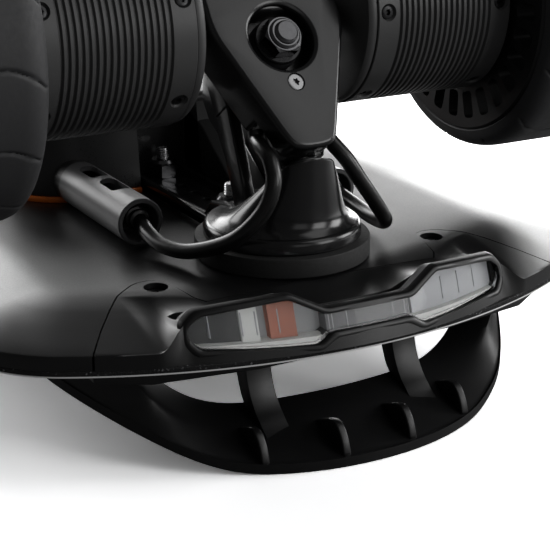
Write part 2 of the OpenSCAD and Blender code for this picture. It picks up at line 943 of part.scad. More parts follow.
module cable(route) {
    p = smooth_route(route, 2);
    n = len(p);
    sides = 10;
    rings = [for (i = [0 : n - 1])
        let (t = unit(p[min(i + 1, n - 1)] - p[max(i - 1, 0)]),
            u = unit(cross([1, 0, 0], t)),
            v = cross(t, u))
            [for (k = [0 : sides - 1]) p[i] + cable_d / 2 * (cos(360 * k / sides) * u + sin(360 * k / sides) * v)]];
    color("#1c1c1e")
        at_end("tail")
            loft(rings);
}

// Hanger: shield face with the bushing seat behind its hole, beam for the axle, pivot nose
module hanger_face() {
    translate([0, 0, -face_thick])
        linear_extrude(face_thick)
            polygon([[-face_half_w, face_top], [-face_half_w, face_shoulder], [-face_tip_half_w - 1, face_tip + 3],
                [-face_tip_half_w + 3, face_tip], [face_tip_half_w - 3, face_tip], [face_tip_half_w + 1, face_tip + 3],
                [face_half_w, face_shoulder], [face_half_w, face_top]]);
}

// Deep cheeks behind the face's two edges: the motor cables come out of their lower ends
module hanger_cheeks() {
    for (side = [0, 1])
        mirror([side, 0, 0])
            translate([0, 0, -cheek_depth])
                linear_extrude(cheek_depth - face_thick + 1)
                    polygon([[face_half_w, face_top], [cheek_in, face_top], [cheek_in, cheek_turn],
                        [cheek_foot_in, cheek_foot], [cheek_foot_out, cheek_foot], [face_half_w, face_shoulder]]);
}

module hanger_body(beam_half_l) {
    difference() {
        union() {
            on_face() {
                hanger_face();
                hanger_cheeks();
                translate([0, 0, -recess_depth - seat_thick])
                    cylinder(r = ring_r, h = recess_depth + seat_thick - 1);
                translate([-web_half_w, bushing_d / 2 + 1.6, axle_face_z])
                    cube([2 * web_half_w, axle_face_y + beam_r - bushing_d / 2 - 1.6, -axle_face_z - 1]);
                translate([0, -30, -seat_mid])
                    rotate([90, 0, 0])
                        cylinder(r = pivot_r, h = -30 - pivot_tip);
                translate([0, pivot_tip, -seat_mid])
                    sphere(r = pivot_r);
                translate([0, -30, -seat_mid])
                    rotate([90, 0, 0])
                        cylinder(r = neck_r, h = -30 - face_tip);
            }
            on_axle(1)
                translate([0, 0, -beam_half_l])
                    cylinder(r = beam_r, h = 2 * beam_half_l);
        }
        on_face() {
            translate([0, 0, -recess_depth])
                cylinder(d = face_hole_d, h = recess_depth + 5);
            translate([0, 0, -40])
                cylinder(d = kingpin_hole_d, h = 60);
            translate([0, -screw_drop, -12])
                cylinder(r = 1.5 + fit, h = 20);
            translate([0, -screw_drop, -2.2])
                cylinder(r = 3.4 + fit, h = 10);
        }
        on_axle(1)
            translate([0, 0, -beam_half_l - 1])
                cylinder(d = axle_d + 2 * fit, h = 2 * beam_half_l + 2);
    }
}

module tail_hanger() {
    color("#1f1f22")
        at_end("tail")
            hanger_body(rotor_end - rotor_disc - 2);
}

module nose_hanger() {
    sleeve_r = 14;
    color("#1f1f22")
        at_end("nose")
            difference() {
                union() {
                    hanger_body(wheel_in - 1);
                    for (side = [-1, 1])
                        on_axle(side)
                            tube(sleeve_r, axle_d / 2 + fit, web_half_w - 4, wheel_in - 6);
                }
                on_face()
                    translate([0, 0, -pad_depth])
                        cylinder(r = bushing_d / 2 + 1, h = lower_bushing_h);
            }
}

module hanger_screw() {
    color("#a9abae")
        at_end("tail")
            on_face()
                translate([0, -screw_drop, 0]) {
                    difference() {
                        translate([0, 0, -2.2])
                            cylinder(r = 3.4, h = 2);
                        translate([0, 0, -1.4])
                            hexagon(2.6, 3);
                    }
                    translate([0, 0, -10])
                        cylinder(r = 1.5, h = 7.8);
                }
}

module axle(end) {
    half_l = wheel_out + 1 + axle_nut_h + 2;
    color("#b4b6b9")
        at_end(end)
            on_axle(1)
                translate([0, 0, -half_l])
                    cylinder(d = axle_d, h = 2 * half_l);
}

module axle_nuts(end) {
    color("#8f9195")
        for (side = [-1, 1])
            at_wheel(end, side)
                translate([0, 0, wheel_out + 1])
                    difference() {
                        hexagon(2 * axle_nut_r * cos(30), axle_nut_h);
                        translate([0, 0, -1])
                            cylinder(d = axle_d + 2 * fit, h = axle_nut_h + 2);
                    }
}

// Radial screw places on a motor: two rings of six
module motor_screw_places(side) {
    for (along = [motor_in + ring_w / 2, motor_out - ring_w / 2], a = [0 : 60 : 300])
        at_wheel("tail", side)
            translate([0, 0, along])
                rotate([0, 0, a + (side < 0 ? left_screw_turn : right_screw_turn)])
                    translate([motor_d / 2, 0, 0])
                        rotate([0, 90, 0])
                            children();
}

module motor_casing(side) {
    r = motor_d / 2;
    rib_zone = motor_length - 2 * ring_w;
    pitch = rib_zone / rib_count;
    groove = 1.1;
    outer = [for (i = [0 : rib_count - 1])
        let (x = motor_in + ring_w + i * pitch)
            each [[r, x], [r - groove, x + 0.15 * pitch], [r - groove, x + 0.4 * pitch], [r, x + 0.55 * pitch]]];
    color("#1a1a1c")
        difference() {
            at_wheel("tail", side)
                rotate_extrude($fn = 128)
                    polygon(concat([[beam_r + fit, motor_in], [r, motor_in]], outer,
                        [[r, motor_out], [r - casing_wall, motor_out], [r - casing_wall, motor_in + casing_end],
                            [beam_r + fit, motor_in + casing_end]]));
            motor_screw_places(side)
                translate([0, 0, -screw_head_h])
                    cylinder(r = screw_head_r + fit, h = 5, $fn = 32);
        }
}

module motor_caps() {
    seam = 0.6;
    color("#1a1a1c")
        for (side = [-1, 1])
            at_wheel("tail", side)
                tube(motor_d / 2 - seam, beam_r + fit, motor_in - cap_thick, motor_in);
}

module motor_screws() {
    color("#2b2b2e")
        for (side = [-1, 1])
            motor_screw_places(side)
                translate([0, 0, -screw_head_h])
                    difference() {
                        cylinder(r = screw_head_r, h = screw_head_h - 0.3, $fn = 32);
                        translate([0, 0, 0.5])
                            hexagon(2, 3);
                    }
}

module motor_stators() {
    color("#a8642a")
        for (side = [-1, 1])
            at_wheel("tail", side)
                difference() {
                    tube(stator_r, beam_r + fit, motor_in + stator_gap, motor_in + stator_gap + stator_h);
                    for (a = [0 : 30 : 330])
                        rotate([0, 0, a])
                            translate([stator_r - 6, -1.2, motor_in])
                                cube([10, 2.4, 80]);
                }
}

// Rotor: magnet can round the stator, closed by a disc whose drive boss carries the wheel
module rotor(side) {
    inner_r = rotor_r - rotor_wall;
    color("#77797d")
        at_wheel("tail", side)
            rotate_extrude()
                polygon([[inner_r, rotor_start], [rotor_r, rotor_start], [rotor_r, rotor_end], [drive_r, rotor_end],
                    [drive_r, wheel_in], [bearing_r + fit, wheel_in], [bearing_r + fit, rotor_end - rotor_disc],
                    [inner_r, rotor_end - rotor_disc]]);
}

module wheel_bearings(end, side) {
    color("#9a9ca0")
        at_wheel(end, side)
            for (x = [end == "tail" ? rotor_end - rotor_disc + 1 : wheel_in + 1, wheel_out - bearing_w - 1])
                tube(bearing_r, axle_d / 2 + run, x, x + bearing_w);
}

module wheel_core(end, side) {
    color("#121213")
        at_wheel(end, side)
            difference() {
                rotate_extrude($fn = 96)
                    polygon([[bearing_r + fit, wheel_in], [flange_rim_r, wheel_in],
                        [flange_rim_r, wheel_in + wheel_flange_w], [barrel_r, wheel_in + wheel_flange_w],
                        [barrel_r, wheel_out - wheel_flange_w], [flange_rim_r, wheel_out - wheel_flange_w],
                        [flange_rim_r, wheel_out], [bearing_r + fit, wheel_out]]);
                for (i = [0 : slot_count - 1])
                    rotate([0, 0, 360 * i / slot_count])
                        translate([0, 0, wheel_in - 1])
                            linear_extrude(wheel_width + 2) {
                                translate([slot_in, -slot_w / 2])
                                    square([slot_out - slot_in - slot_w / 2, slot_w]);
                                translate([slot_out - slot_w / 2, 0])
                                    circle(d = slot_w, $fn = 24);
                            }
            }
}

module wheel_tyre(end, side) {
    mid = (wheel_in + wheel_out) / 2;
    crown = wheel_d / 2;
    half = wheel_width / 2 - 0.6;
    shoulder = flange_rim_r + 1.2;
    color("#3b3b3e")
        at_wheel(end, side)
            rotate_extrude($fn = 96)
                polygon(concat([[barrel_r + fit, wheel_in + wheel_flange_w + fit],
                    [flange_rim_r + fit, wheel_in + wheel_flange_w + fit], [flange_rim_r + fit, mid - half]],
                    [for (i = [0 : 10]) let (t = -1 + 0.2 * i)
                        [shoulder + (crown - shoulder) * (1 - pow(abs(t), 2.6)), mid + half * t]],
                    [[flange_rim_r + fit, mid + half], [flange_rim_r + fit, wheel_out - wheel_flange_w - fit],
                    [barrel_r + fit, wheel_out - wheel_flange_w - fit]]));
}

deck();
grip_pad();
enclosure();
enclosure_gasket();
enclosure_screws();
battery_pack();
speed_controller();
charge_port();
power_button();
light_housing("tail");  // tail_light_housing
light_lens("tail");  // tail_light_lens
light_housing("nose");  // nose_light_housing
light_lens("nose");  // nose_light_lens
light_boards();
end_screws();
bumper("tail");  // tail_bumper
bumper("nose");  // nose_bumper
riser_pads();
baseplate("tail");  // tail_baseplate
baseplate("nose");  // nose_baseplate
base_bolts();
pivot_cups();
kingpins();
kingpin_nuts();
bushing_washers();
lower_bushing("tail");  // tail_lower_bushing
upper_bushing("tail");  // tail_upper_bushing
lower_bushing("nose");  // nose_lower_bushing
upper_bushing("nose");  // nose_upper_bushing
cable_sleeve(-1);  // left_cable_sleeve
cable_sleeve(1);  // right_cable_sleeve
cable(left_route);  // left_motor_cable
cable(right_route);  // right_motor_cable
tail_hanger();
axle("tail");  // tail_axle
axle_nuts("tail");  // tail_axle_nuts
hanger_screw();
motor_casing(-1);  // left_motor_casing
motor_casing(1);  // right_motor_casing
motor_caps();
motor_screws();
motor_stators();
nose_hanger();
axle("nose");  // nose_axle
axle_nuts("nose");  // nose_axle_nuts
wheel_tyre("tail", -1);  // tail_left_tyre
wheel_core("tail", -1);  // tail_left_core
wheel_bearings("tail", -1);  // tail_left_bearings
rotor(-1);  // tail_left_rotor
wheel_tyre("tail", 1);  // tail_right_tyre
wheel_core("tail", 1);  // tail_right_core
wheel_bearings("tail", 1);  // tail_right_bearings
rotor(1);  // tail_right_rotor
wheel_tyre("nose", 1);  // nose_left_tyre
wheel_core("nose", 1);  // nose_left_core
wheel_bearings("nose", 1);  // nose_left_bearings
wheel_tyre("nose", -1);  // nose_right_tyre
wheel_core("nose", -1);  // nose_right_core
wheel_bearings("nose", -1);  // nose_right_bearings
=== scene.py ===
import math

import bmesh
import bpy
import numpy as np
from mathutils import Matrix, Vector


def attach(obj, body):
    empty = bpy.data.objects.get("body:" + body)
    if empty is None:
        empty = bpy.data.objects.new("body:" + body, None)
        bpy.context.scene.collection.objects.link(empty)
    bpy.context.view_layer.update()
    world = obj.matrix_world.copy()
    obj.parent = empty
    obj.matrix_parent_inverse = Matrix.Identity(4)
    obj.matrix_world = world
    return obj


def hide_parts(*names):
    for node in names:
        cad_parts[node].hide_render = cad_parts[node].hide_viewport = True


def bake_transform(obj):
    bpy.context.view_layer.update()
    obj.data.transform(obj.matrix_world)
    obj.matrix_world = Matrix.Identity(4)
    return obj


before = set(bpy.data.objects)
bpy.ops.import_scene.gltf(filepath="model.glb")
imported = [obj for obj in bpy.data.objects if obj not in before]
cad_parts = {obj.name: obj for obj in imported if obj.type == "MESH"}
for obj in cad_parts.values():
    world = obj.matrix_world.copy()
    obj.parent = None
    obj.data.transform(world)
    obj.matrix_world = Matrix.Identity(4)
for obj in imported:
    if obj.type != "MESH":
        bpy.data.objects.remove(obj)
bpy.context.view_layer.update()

# Photographer's table: a white sweep, soft boxes behind, beside and in front of it, and the camera
# that looks down at the tail end from the left. The board lies wheels up on the sweep.
camera_place = Vector((-0.2774, -0.8929, 0.2480))
camera_right = Vector((0.8728, -0.4881, 0.0))
camera_up = Vector((0.1637, 0.2927, 0.9421))
camera_lens = 98.83
camera_sensor = 36.0

lens_data = bpy.data.cameras.new("view")
lens_data.lens = camera_lens
lens_data.sensor_fit = "HORIZONTAL"
lens_data.sensor_width = camera_sensor
lens_data.clip_start = 0.01
camera = bpy.data.objects.new("view", lens_data)
bpy.context.scene.collection.objects.link(camera)
camera_back = camera_right.cross(camera_up)
camera_turn = Matrix((camera_right, camera_up, camera_back)).transposed()
camera.matrix_world = Matrix.Translation(camera_place) @ camera_turn.to_4x4()
bpy.context.scene.camera = camera
bpy.context.scene.view_settings.view_transform = "Standard"


def soft_box(name, place, target, width, height, power):
    """A rectangular studio lamp at place, turned to target."""
    lamp = bpy.data.lights.new(name, "AREA")
    lamp.shape = "RECTANGLE"
    lamp.size = width
    lamp.size_y = height
    lamp.energy = power
    holder = bpy.data.objects.new(name, lamp)
    holder.location = place
    holder.rotation_euler = (Vector(target) - Vector(place)).to_track_quat("-Z", "Y").to_euler()
    bpy.context.scene.collection.objects.link(holder)


table_aim = (0.0, -0.35, 0.08)
soft_box("back_right_box", (0.75, 1.08, 0.66), table_aim, 0.7, 0.6, 2.2)
soft_box("back_box", (0.0, 1.27, 0.68), table_aim, 0.7, 0.8, 12.0)
soft_box("backdrop_box", (1.0, 1.0, 0.15), table_aim, 1.3, 0.24, 9.0)
soft_box("corner_box", (1.2, 0.58, 0.72), table_aim, 0.5, 0.4, 8.0)
soft_box("back_left_box", (-0.81, 1.05, 0.6), table_aim, 0.7, 0.7, 7.5)
soft_box("high_front_box", (0.8, -1.15, 1.34), table_aim, 0.9, 0.9, 3.2)
soft_box("low_front_box", (0.0, -1.97, 0.6), table_aim, 0.7, 0.7, 0.8)
soft_box("low_right_box", (0.95, -1.65, 0.6), table_aim, 0.7, 0.7, 6.0)
soft_box("right_box", (1.56, -0.77, 0.6), table_aim, 0.7, 0.7, 10.0)


def for_camera(nodes, links, seen_shade, other_shade):
    """One shade for rays from the camera or through glass, another for all other rays."""
    rays = nodes.new("ShaderNodeLightPath")
    seen = nodes.new("ShaderNodeMath")
    seen.operation = "MAXIMUM"
    links.new(rays.outputs["Is Camera Ray"], seen.inputs[0])
    links.new(rays.outputs["Is Transmission Ray"], seen.inputs[1])
    mix = nodes.new("ShaderNodeMixShader")
    links.new(seen.outputs[0], mix.inputs["Fac"])
    links.new(other_shade, mix.inputs[1])
    links.new(seen_shade, mix.inputs[2])
    return mix.outputs[0]


sweep_size = 8.0
sweep_mesh = bpy.data.meshes.new("sweep")
half = sweep_size / 2
sweep_mesh.from_pydata([(-half, -half, 0), (half, -half, 0), (half, half, 0), (-half, half, 0)], [],
                       [(0, 1, 2, 3)])
sweep = bpy.data.objects.new("sweep", sweep_mesh)
bpy.context.scene.collection.objects.link(sweep)
paper = bpy.data.materials.new("white_paper")
paper.use_nodes = True
paper_nodes = paper.node_tree.nodes
paper_shader = paper_nodes["Principled BSDF"]
# Painted light: the paper's own colour goes from dark at the front on the left to brighter than white
# towards the back on the right, where it is lit strongest. The board gets this painted light back from the
# paper.
paper_place = paper_nodes.new("ShaderNodeTexCoord")
paper_light_lean = paper_nodes.new("ShaderNodeVectorMath")
paper_light_lean.operation = "DOT_PRODUCT"
paper_light_lean.inputs[1].default_value = (0.8, 0.6, 0)
paper.node_tree.links.new(paper_place.outputs["Object"], paper_light_lean.inputs[0])
paper_light_ramp = paper_nodes.new("ShaderNodeValToRGB")
paper_light_ramp.color_ramp.elements[0].position = 0.0
paper_light_ramp.color_ramp.elements[0].color = (0.16, 0.16, 0.162, 1)
paper_light_ramp.color_ramp.elements[1].position = 0.35
paper_light_ramp.color_ramp.elements[1].color = (1.6, 1.6, 1.6, 1)
paper.node_tree.links.new(paper_light_lean.outputs["Value"], paper_light_ramp.inputs["Fac"])
paper.node_tree.links.new(paper_light_ramp.outputs["Color"], paper_shader.inputs["Base Color"])
paper_shader.inputs["Roughness"].default_value = 0.6
# The paper is overexposed in the picture, so it shows brighter than it lights the board
bright_paper = paper_nodes.new("ShaderNodeBsdfDiffuse")
bright_paper.inputs["Color"].default_value = (3.0, 3.0, 3.02, 1)
paper_out = for_camera(paper_nodes, paper.node_tree.links, bright_paper.outputs[0], paper_shader.outputs[0])
paper.node_tree.links.new(paper_out, paper_nodes["Material Output"].inputs["Surface"])
sweep_mesh.materials.append(paper)

room = bpy.data.worlds.new("white_room")
room.use_nodes = True
room_nodes = room.node_tree.nodes
room_shade = room_nodes["Background"]
room_shade.inputs["Color"].default_value = (1, 1, 1, 1)
room_shade.inputs["Strength"].default_value = 0.06
room_white = room_nodes.new("ShaderNodeBackground")
room_out = for_camera(room_nodes, room.node_tree.links, room_white.outputs[0], room_shade.outputs[0])
room.node_tree.links.new(room_out, room_nodes["World Output"].inputs["Surface"])
bpy.context.scene.world = room

# Deck: a moulded shell with an upright band round its edge, a grained bevel and a flat underside.
# The two light housings lie in seats that are cut through its ends.
mm = 0.001
hole = Vector((0, -402.5, 142.5))
grip_face = -101.5
core_face = -99.0
under_face = -84.6
tip_y = -67.7
deck_half_w = 136.0
end_radius = 230.0
corner_radius = 52.0
end_centre_y = tip_y + end_radius
corner_x = deck_half_w - corner_radius
corner_y = end_centre_y - math.sqrt((end_radius - corner_radius) ** 2 - corner_x**2)
end_half_turn = math.atan2(corner_x, end_centre_y - corner_y)
# Section of the shell: distance in from the edge, height above the grip pad
deck_section = [
    (0.5, 0.0), (0.12, 0.12), (0.0, 0.5), (0.0, 4.7), (0.12, 5.2), (0.5, 5.55), (1.4, 5.85),
    (8.0, 7.5), (16.0, 9.5), (22.0, 11.0), (24.6, 11.6), (26.0, 11.95), (27.5, 12.3), (31.0, 13.0),
    (36.0, 13.8), (40.0, 14.25), (45.0, 14.4),
]


def arc(centre, radius, start, stop, steps):
    """Points of an arc in plan, ends included."""
    angles = np.linspace(start, stop, steps + 1)
    return [(centre[0] + radius * math.cos(a), centre[1] + radius * math.sin(a)) for a in angles]


def deck_end_outline(inset):
    """Plan of the deck's tail end from the left edge round to the right edge, from the hanger's hole."""
    turn = math.pi / 2 - end_half_turn
    left = arc((-corner_x, corner_y), corner_radius - inset, math.pi, math.pi + turn, 28)
    tip = arc((0, end_centre_y), end_radius - inset, math.pi + turn, 2 * math.pi - turn, 64)
    right = arc((corner_x, corner_y), corner_radius - inset, 2 * math.pi - turn, 2 * math.pi, 28)
    return left + tip[1:-1] + right


def deck_height(x, y):
    """Height of the deck's underside above the grip pad at points near the middle of the tail end."""
    inset = end_radius - np.hypot(x, y - end_centre_y)
    upper = [point for point in deck_section if point[1] >= 4.7]
    return np.interp(inset, [point[0] for point in upper], [point[1] for point in upper])


def mesh_piece(name, points, faces):
    """A mesh object from points in millimetres."""
    mesh = bpy.data.meshes.new(name)
    mesh.from_pydata([tuple(float(v) for v in p) for p in points], [], faces)
    piece = bpy.data.objects.new(name, mesh)
    bpy.context.scene.collection.objects.link(piece)
    return piece


def outward(piece):
    """Merges doubles and turns all faces of a closed piece outwards."""
    shape = bmesh.new()
    shape.from_mesh(piece.data)
    bmesh.ops.remove_doubles(shape, verts=shape.verts, dist=1e-3)
    bmesh.ops.dissolve_degenerate(shape, edges=shape.edges, dist=1e-3)
    bmesh.ops.recalc_face_normals(shape, faces=shape.faces)
    shape.to_mesh(piece.data)
    shape.free()
    return piece


def ring_piece(name, rings, capped=True):
    """A skin through closed rings of equally many points, with the first and last ring capped."""
    count = len(rings[0])
    faces = []
    for j in range(len(rings) - 1):
        for i in range(count):
            k = (i + 1) % count
            faces.append((j * count + i, j * count + k, (j + 1) * count + k, (j + 1) * count + i))
    if capped:
        faces.append(tuple(range(count - 1, -1, -1)))
        faces.append(tuple(range((len(rings) - 1) * count, len(rings) * count)))
    return outward(mesh_piece(name, [p for ring in rings for p in ring], faces))


def prism(name, outline, low, high):
    """An upright solid over an outline in plan."""
    return ring_piece(name, [[(x, y, z) for x, y in outline] for z in (low, high)])


def apply_modifiers(piece):
    """Bakes a piece's modifiers into its own mesh."""
    graph = bpy.context.evaluated_depsgraph_get()
    mesh = bpy.data.meshes.new_from_object(piece.evaluated_get(graph))
    old = piece.data
    piece.modifiers.clear()
    piece.data = mesh
    bpy.data.meshes.remove(old)
    return piece


def carve(piece, tools, operation="DIFFERENCE"):
    """Cuts tools out of a piece, or joins or intersects them with it, and removes the tools."""
    for tool in tools:
        step = piece.modifiers.new("carve", "BOOLEAN")
        step.operation = operation
        step.solver = "EXACT"
        step.object = tool
    apply_modifiers(piece)
    for tool in tools:
        bpy.data.objects.remove(tool)
    return piece


def round_edges(piece, width, segments=3, angle=35, clamp=True):
    """Rounds the sharp edges of a piece, no wider than its short edges allow if clamped."""
    step = piece.modifiers.new("round", "BEVEL")
    step.use_clamp_overlap = clamp
    step.width = width
    step.segments = segments
    step.limit_method = "ANGLE"
    step.angle_limit = math.radians(angle)
    return apply_modifiers(piece)


def smooth(piece, angle=35):
    """Smooth shading that breaks at edges sharper than the angle."""
    piece.data.shade_smooth()
    piece.data.set_sharp_from_angle(angle=math.radians(angle))
    return piece


def merge(name, pieces):
    """One object from the meshes of several."""
    shape = bmesh.new()
    for piece in pieces:
        shape.from_mesh(piece.data)
        bpy.data.objects.remove(piece)
    mesh = bpy.data.meshes.new(name)
    shape.to_mesh(mesh)
    shape.free()
    whole = bpy.data.objects.new(name, mesh)
    bpy.context.scene.collection.objects.link(whole)
    return whole


def laid_along(place):
    """Pose that lays an upright turned shape along the board, at a place."""
    return Matrix.Translation(place) @ Matrix.Rotation(-math.pi / 2, 4, "X")


def at_end(piece, end, pose=None):
    """Moves a piece that is measured from the tail hanger's hole to its place at one end."""
    if pose:
        piece.data.transform(pose)
    piece.data.transform(Matrix.Translation(hole))
    if end == "nose":
        piece.data.transform(Matrix.Rotation(math.pi, 4, "Z"))
    return piece


def both_ends(piece, pose=None):
    """A piece at the tail and its copy at the nose, as one object."""
    copy = bpy.data.objects.new(piece.name, piece.data.copy())
    bpy.context.scene.collection.objects.link(copy)
    return merge(piece.name, [at_end(piece, "tail", pose), at_end(copy, "nose", pose)])


def dress(piece, material, body, slot, *nodes):
    """Brings a finished piece to metres, gives it its material, hangs it under its body and hides the nodes
    it stands for. The slot is not used.
    """
    piece.data.transform(Matrix.Scale(mm, 4))
    piece.data.materials.clear()
    piece.data.materials.append(material)
    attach(piece, body)
    if nodes:
        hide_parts(*nodes)
    return piece


def make_grain_group():
    """Moulding grain: a fine pebble for relief and roughness, with broad faint patches in the colour."""
    group = bpy.data.node_groups.new("moulding_grain", "ShaderNodeTree")
    for name, kind in (("Dark", "Color"), ("Light", "Color"), ("Pebble Scale", "Float"),
                       ("Patch Scale", "Float"), ("Smoothest", "Float"), ("Roughest", "Float")):
        group.interface.new_socket(name, in_out="INPUT", socket_type="NodeSocket" + kind)
    for name, kind in (("Color", "Color"), ("Roughness", "Float"), ("Height", "Float")):
        group.interface.new_socket(name, in_out="OUTPUT", socket_type="NodeSocket" + kind)
    nodes, links = group.nodes, group.links
    given = nodes.new("NodeGroupInput")
    made = nodes.new("NodeGroupOutput")
    place = nodes.new("ShaderNodeTexCoord")
    pebble = nodes.new("ShaderNodeTexNoise")
    pebble.inputs["Detail"].default_value = 3.0
    patch = nodes.new("ShaderNodeTexNoise")
    patch.inputs["Detail"].default_value = 5.0
    links.new(place.outputs["Object"], pebble.inputs["Vector"])
    links.new(place.outputs["Object"], patch.inputs["Vector"])
    links.new(given.outputs["Pebble Scale"], pebble.inputs["Scale"])
    links.new(given.outputs["Patch Scale"], patch.inputs["Scale"])
    tint = nodes.new("ShaderNodeMix")
    tint.data_type = "RGBA"
    links.new(patch.outputs["Fac"], tint.inputs["Factor"])
    links.new(given.outputs["Dark"], tint.inputs[6])
    links.new(given.outputs["Light"], tint.inputs[7])
    both = nodes.new("ShaderNodeMath")
    both.operation = "ADD"
    links.new(pebble.outputs["Fac"], both.inputs[0])
    links.new(patch.outputs["Fac"], both.inputs[1])
    spread = nodes.new("ShaderNodeMapRange")
    spread.inputs["From Min"].default_value = 0.7
    spread.inputs["From Max"].default_value = 1.3
    links.new(both.outputs[0], spread.inputs["Value"])
    links.new(given.outputs["Smoothest"], spread.inputs["To Min"])
    links.new(given.outputs["Roughest"], spread.inputs["To Max"])
    links.new(tint.outputs[2], made.inputs["Color"])
    links.new(spread.outputs[0], made.inputs["Roughness"])
    links.new(pebble.outputs["Fac"], made.inputs["Height"])
    return group


grain_group = make_grain_group()


def grained(name, dark, light, rough, pebble=1400.0, patch=35.0, relief=0.25, depth=0.05, metal=0.0,
            specular=0.5):
    """A moulded or coated finish: dark to light patches, a range of roughness and a fine pebbled relief."""
    material = bpy.data.materials.new(name)
    material.use_nodes = True
    nodes, links = material.node_tree.nodes, material.node_tree.links
    shader = nodes["Principled BSDF"]
    shader.inputs["Metallic"].default_value = metal
    shader.inputs["Specular IOR Level"].default_value = specular
    grain = nodes.new("ShaderNodeGroup")
    grain.node_tree = grain_group
    grain.inputs["Dark"].default_value = (*dark, 1)
    grain.inputs["Light"].default_value = (*light, 1)
    grain.inputs["Pebble Scale"].default_value = pebble
    grain.inputs["Patch Scale"].default_value = patch
    grain.inputs["Smoothest"].default_value = rough[0]
    grain.inputs["Roughest"].default_value = rough[1]
    bump = nodes.new("ShaderNodeBump")
    bump.inputs["Strength"].default_value = relief
    bump.inputs["Distance"].default_value = depth * mm
    links.new(grain.outputs["Color"], shader.inputs["Base Color"])
    links.new(grain.outputs["Roughness"], shader.inputs["Roughness"])
    links.new(grain.outputs["Height"], bump.inputs["Height"])
    links.new(bump.outputs["Normal"], shader.inputs["Normal"])
    return material


# Plan of a light housing's seat on one side, from the middle out: back, screw ear, seam to the edge
seat_side = [(50.0, -33.0), (53.0, -28.5), (56.6, -10.5), (58.2, -8.0), (61.0, -6.8), (65.5, -7.2),
             (68.6, -8.8), (77.0, -15.5), (83.0, -22.8), (91.0, -33.0), (106.0, -55.0)]
seat_cut_y = -90.0
seam_gap = 0.4


def seat_back(x):
    """Y of the seat's edge that borders the deck."""
    return np.interp(np.abs(x), [point[0] for point in seat_side], [point[1] for point in seat_side])


def seat_outline(grow):
    """Plan of the seat, grown by a gap where it borders the deck."""
    side = [(x - grow if x < 55 else x + grow, y + grow) for x, y in seat_side]
    side.append((side[-1][0], seat_cut_y))
    return side + [(-x, y) for x, y in reversed(side)]


deck_rings = []
for inset, height in deck_section:
    tail_row = [(x, y + hole.y, core_face + hole.z + height) for x, y in deck_end_outline(inset)]
    deck_rings.append(tail_row + [(-x, -y, z) for x, y, z in tail_row])
deck_shell = ring_piece("deck_shell", deck_rings)
seat_tools = [at_end(prism("seat_tool", seat_outline(seam_gap), core_face - 1, under_face + 9), end)
              for end in ("tail", "nose")]
carve(deck_shell, seat_tools)
deck_finish = grained("deck_satin", (0.003, 0.003, 0.0033), (0.005, 0.005, 0.0053), (0.30, 0.40), 1500, 22,
                      0.35, 0.06)
dress(smooth(deck_shell, 20), deck_finish, "board", "deck_shell", "deck")

# Grip pad: a gritty sheet stuck to the standing face, cut flush with the deck. Its pale backing
# shows as a thin line along the lower edge, whitened so it also stands for a painted reflection of the floor.
backing_height = 0.7


def deck_layer(name, section):
    """A sheet over the whole deck, from a section of insets and heights above the grip face."""
    rings = []
    for inset, height in section:
        row = [(x, y + hole.y, grip_face + hole.z + height) for x, y in deck_end_outline(inset)]
        rings.append(row + [(-x, -y, z) for x, y, z in row])
    return smooth(ring_piece(name, rings))


def make_grit():
    """Black grit with single bright grains."""
    material = bpy.data.materials.new("black_grit")
    material.use_nodes = True
    nodes, links = material.node_tree.nodes, material.node_tree.links
    shader = nodes["Principled BSDF"]
    shader.inputs["Roughness"].default_value = 0.7
    place = nodes.new("ShaderNodeTexCoord")
    grains = nodes.new("ShaderNodeTexVoronoi")
    grains.inputs["Scale"].default_value = 1600.0
    links.new(place.outputs["Object"], grains.inputs["Vector"])
    bright = nodes.new("ShaderNodeValToRGB")
    bright.color_ramp.elements[0].position = 0.80
    bright.color_ramp.elements[0].color = (0.004, 0.004, 0.0045, 1)
    bright.color_ramp.elements[1].position = 0.97
    bright.color_ramp.elements[1].color = (0.20, 0.20, 0.21, 1)
    links.new(grains.outputs["Color"], bright.inputs["Fac"])
    bump = nodes.new("ShaderNodeBump")
    bump.inputs["Strength"].default_value = 0.8
    bump.inputs["Distance"].default_value = 0.25 * mm
    links.new(bright.outputs["Color"], shader.inputs["Base Color"])
    links.new(grains.outputs["Distance"], bump.inputs["Height"])
    links.new(bump.outputs["Normal"], shader.inputs["Normal"])
    return material


backing = deck_layer("grip_backing", ((0.6, 0.0), (0.25, 0.1), (0.2, backing_height)))
# Painted reflection: the backing is near white so its edge line also shows the floor's reflection.
backing_and_reflection_finish = grained("pale_backing", (0.88, 0.88, 0.88), (0.94, 0.94, 0.94), (0.5, 0.7), 900, 60, 0.2)
dress(backing, backing_and_reflection_finish, "board", "grip")
grip_sheet = deck_layer("grip_sheet", ((0.2, backing_height), (0.1, 0.9), (0.1, 2.3), (0.25, 2.5)))
dress(grip_sheet, make_grit(), "board", "grip", "grip_pad")

# Light housings: a hollowed shell over the deck's tip with two screw ears, and a leaning bar whose
# bow-tie window has a raised frame.
bar_front = tip_y - 2.6
bar_radius = 170.0
bar_lean = 8.4 / 25
frame_width = 2.2
cavity_depth = 15.0
ear_x = 61.3
ear_y = tip_y + 53.4
ear_bore = 4.6
ear_sink = 4.4
rim_height = 8.0
ridge_start = (53.0, -28.0)
ridge_stop = (77.0, -15.5)
hollow_depth = 3.2
housing_reach = 99.0


def bow_tie(inset):
    """Outline of the light bar's front: distance across, height over the grip face."""
    side = [(17.8 + inset / 2, 16.9 - inset), (30.8 + inset / 4, 23.3 - inset), (64 - inset, 20 - inset),
            (68.6 - inset, 15.6 - inset / 2), (69 - inset, 8.6 + inset), (65.5 - inset, 4.6 + inset),
            (21.2 + inset / 2, 2.9 + inset), (14.9 + inset, 6.4 + inset)]
    return side + [(-x, h) for x, h in reversed(side)]


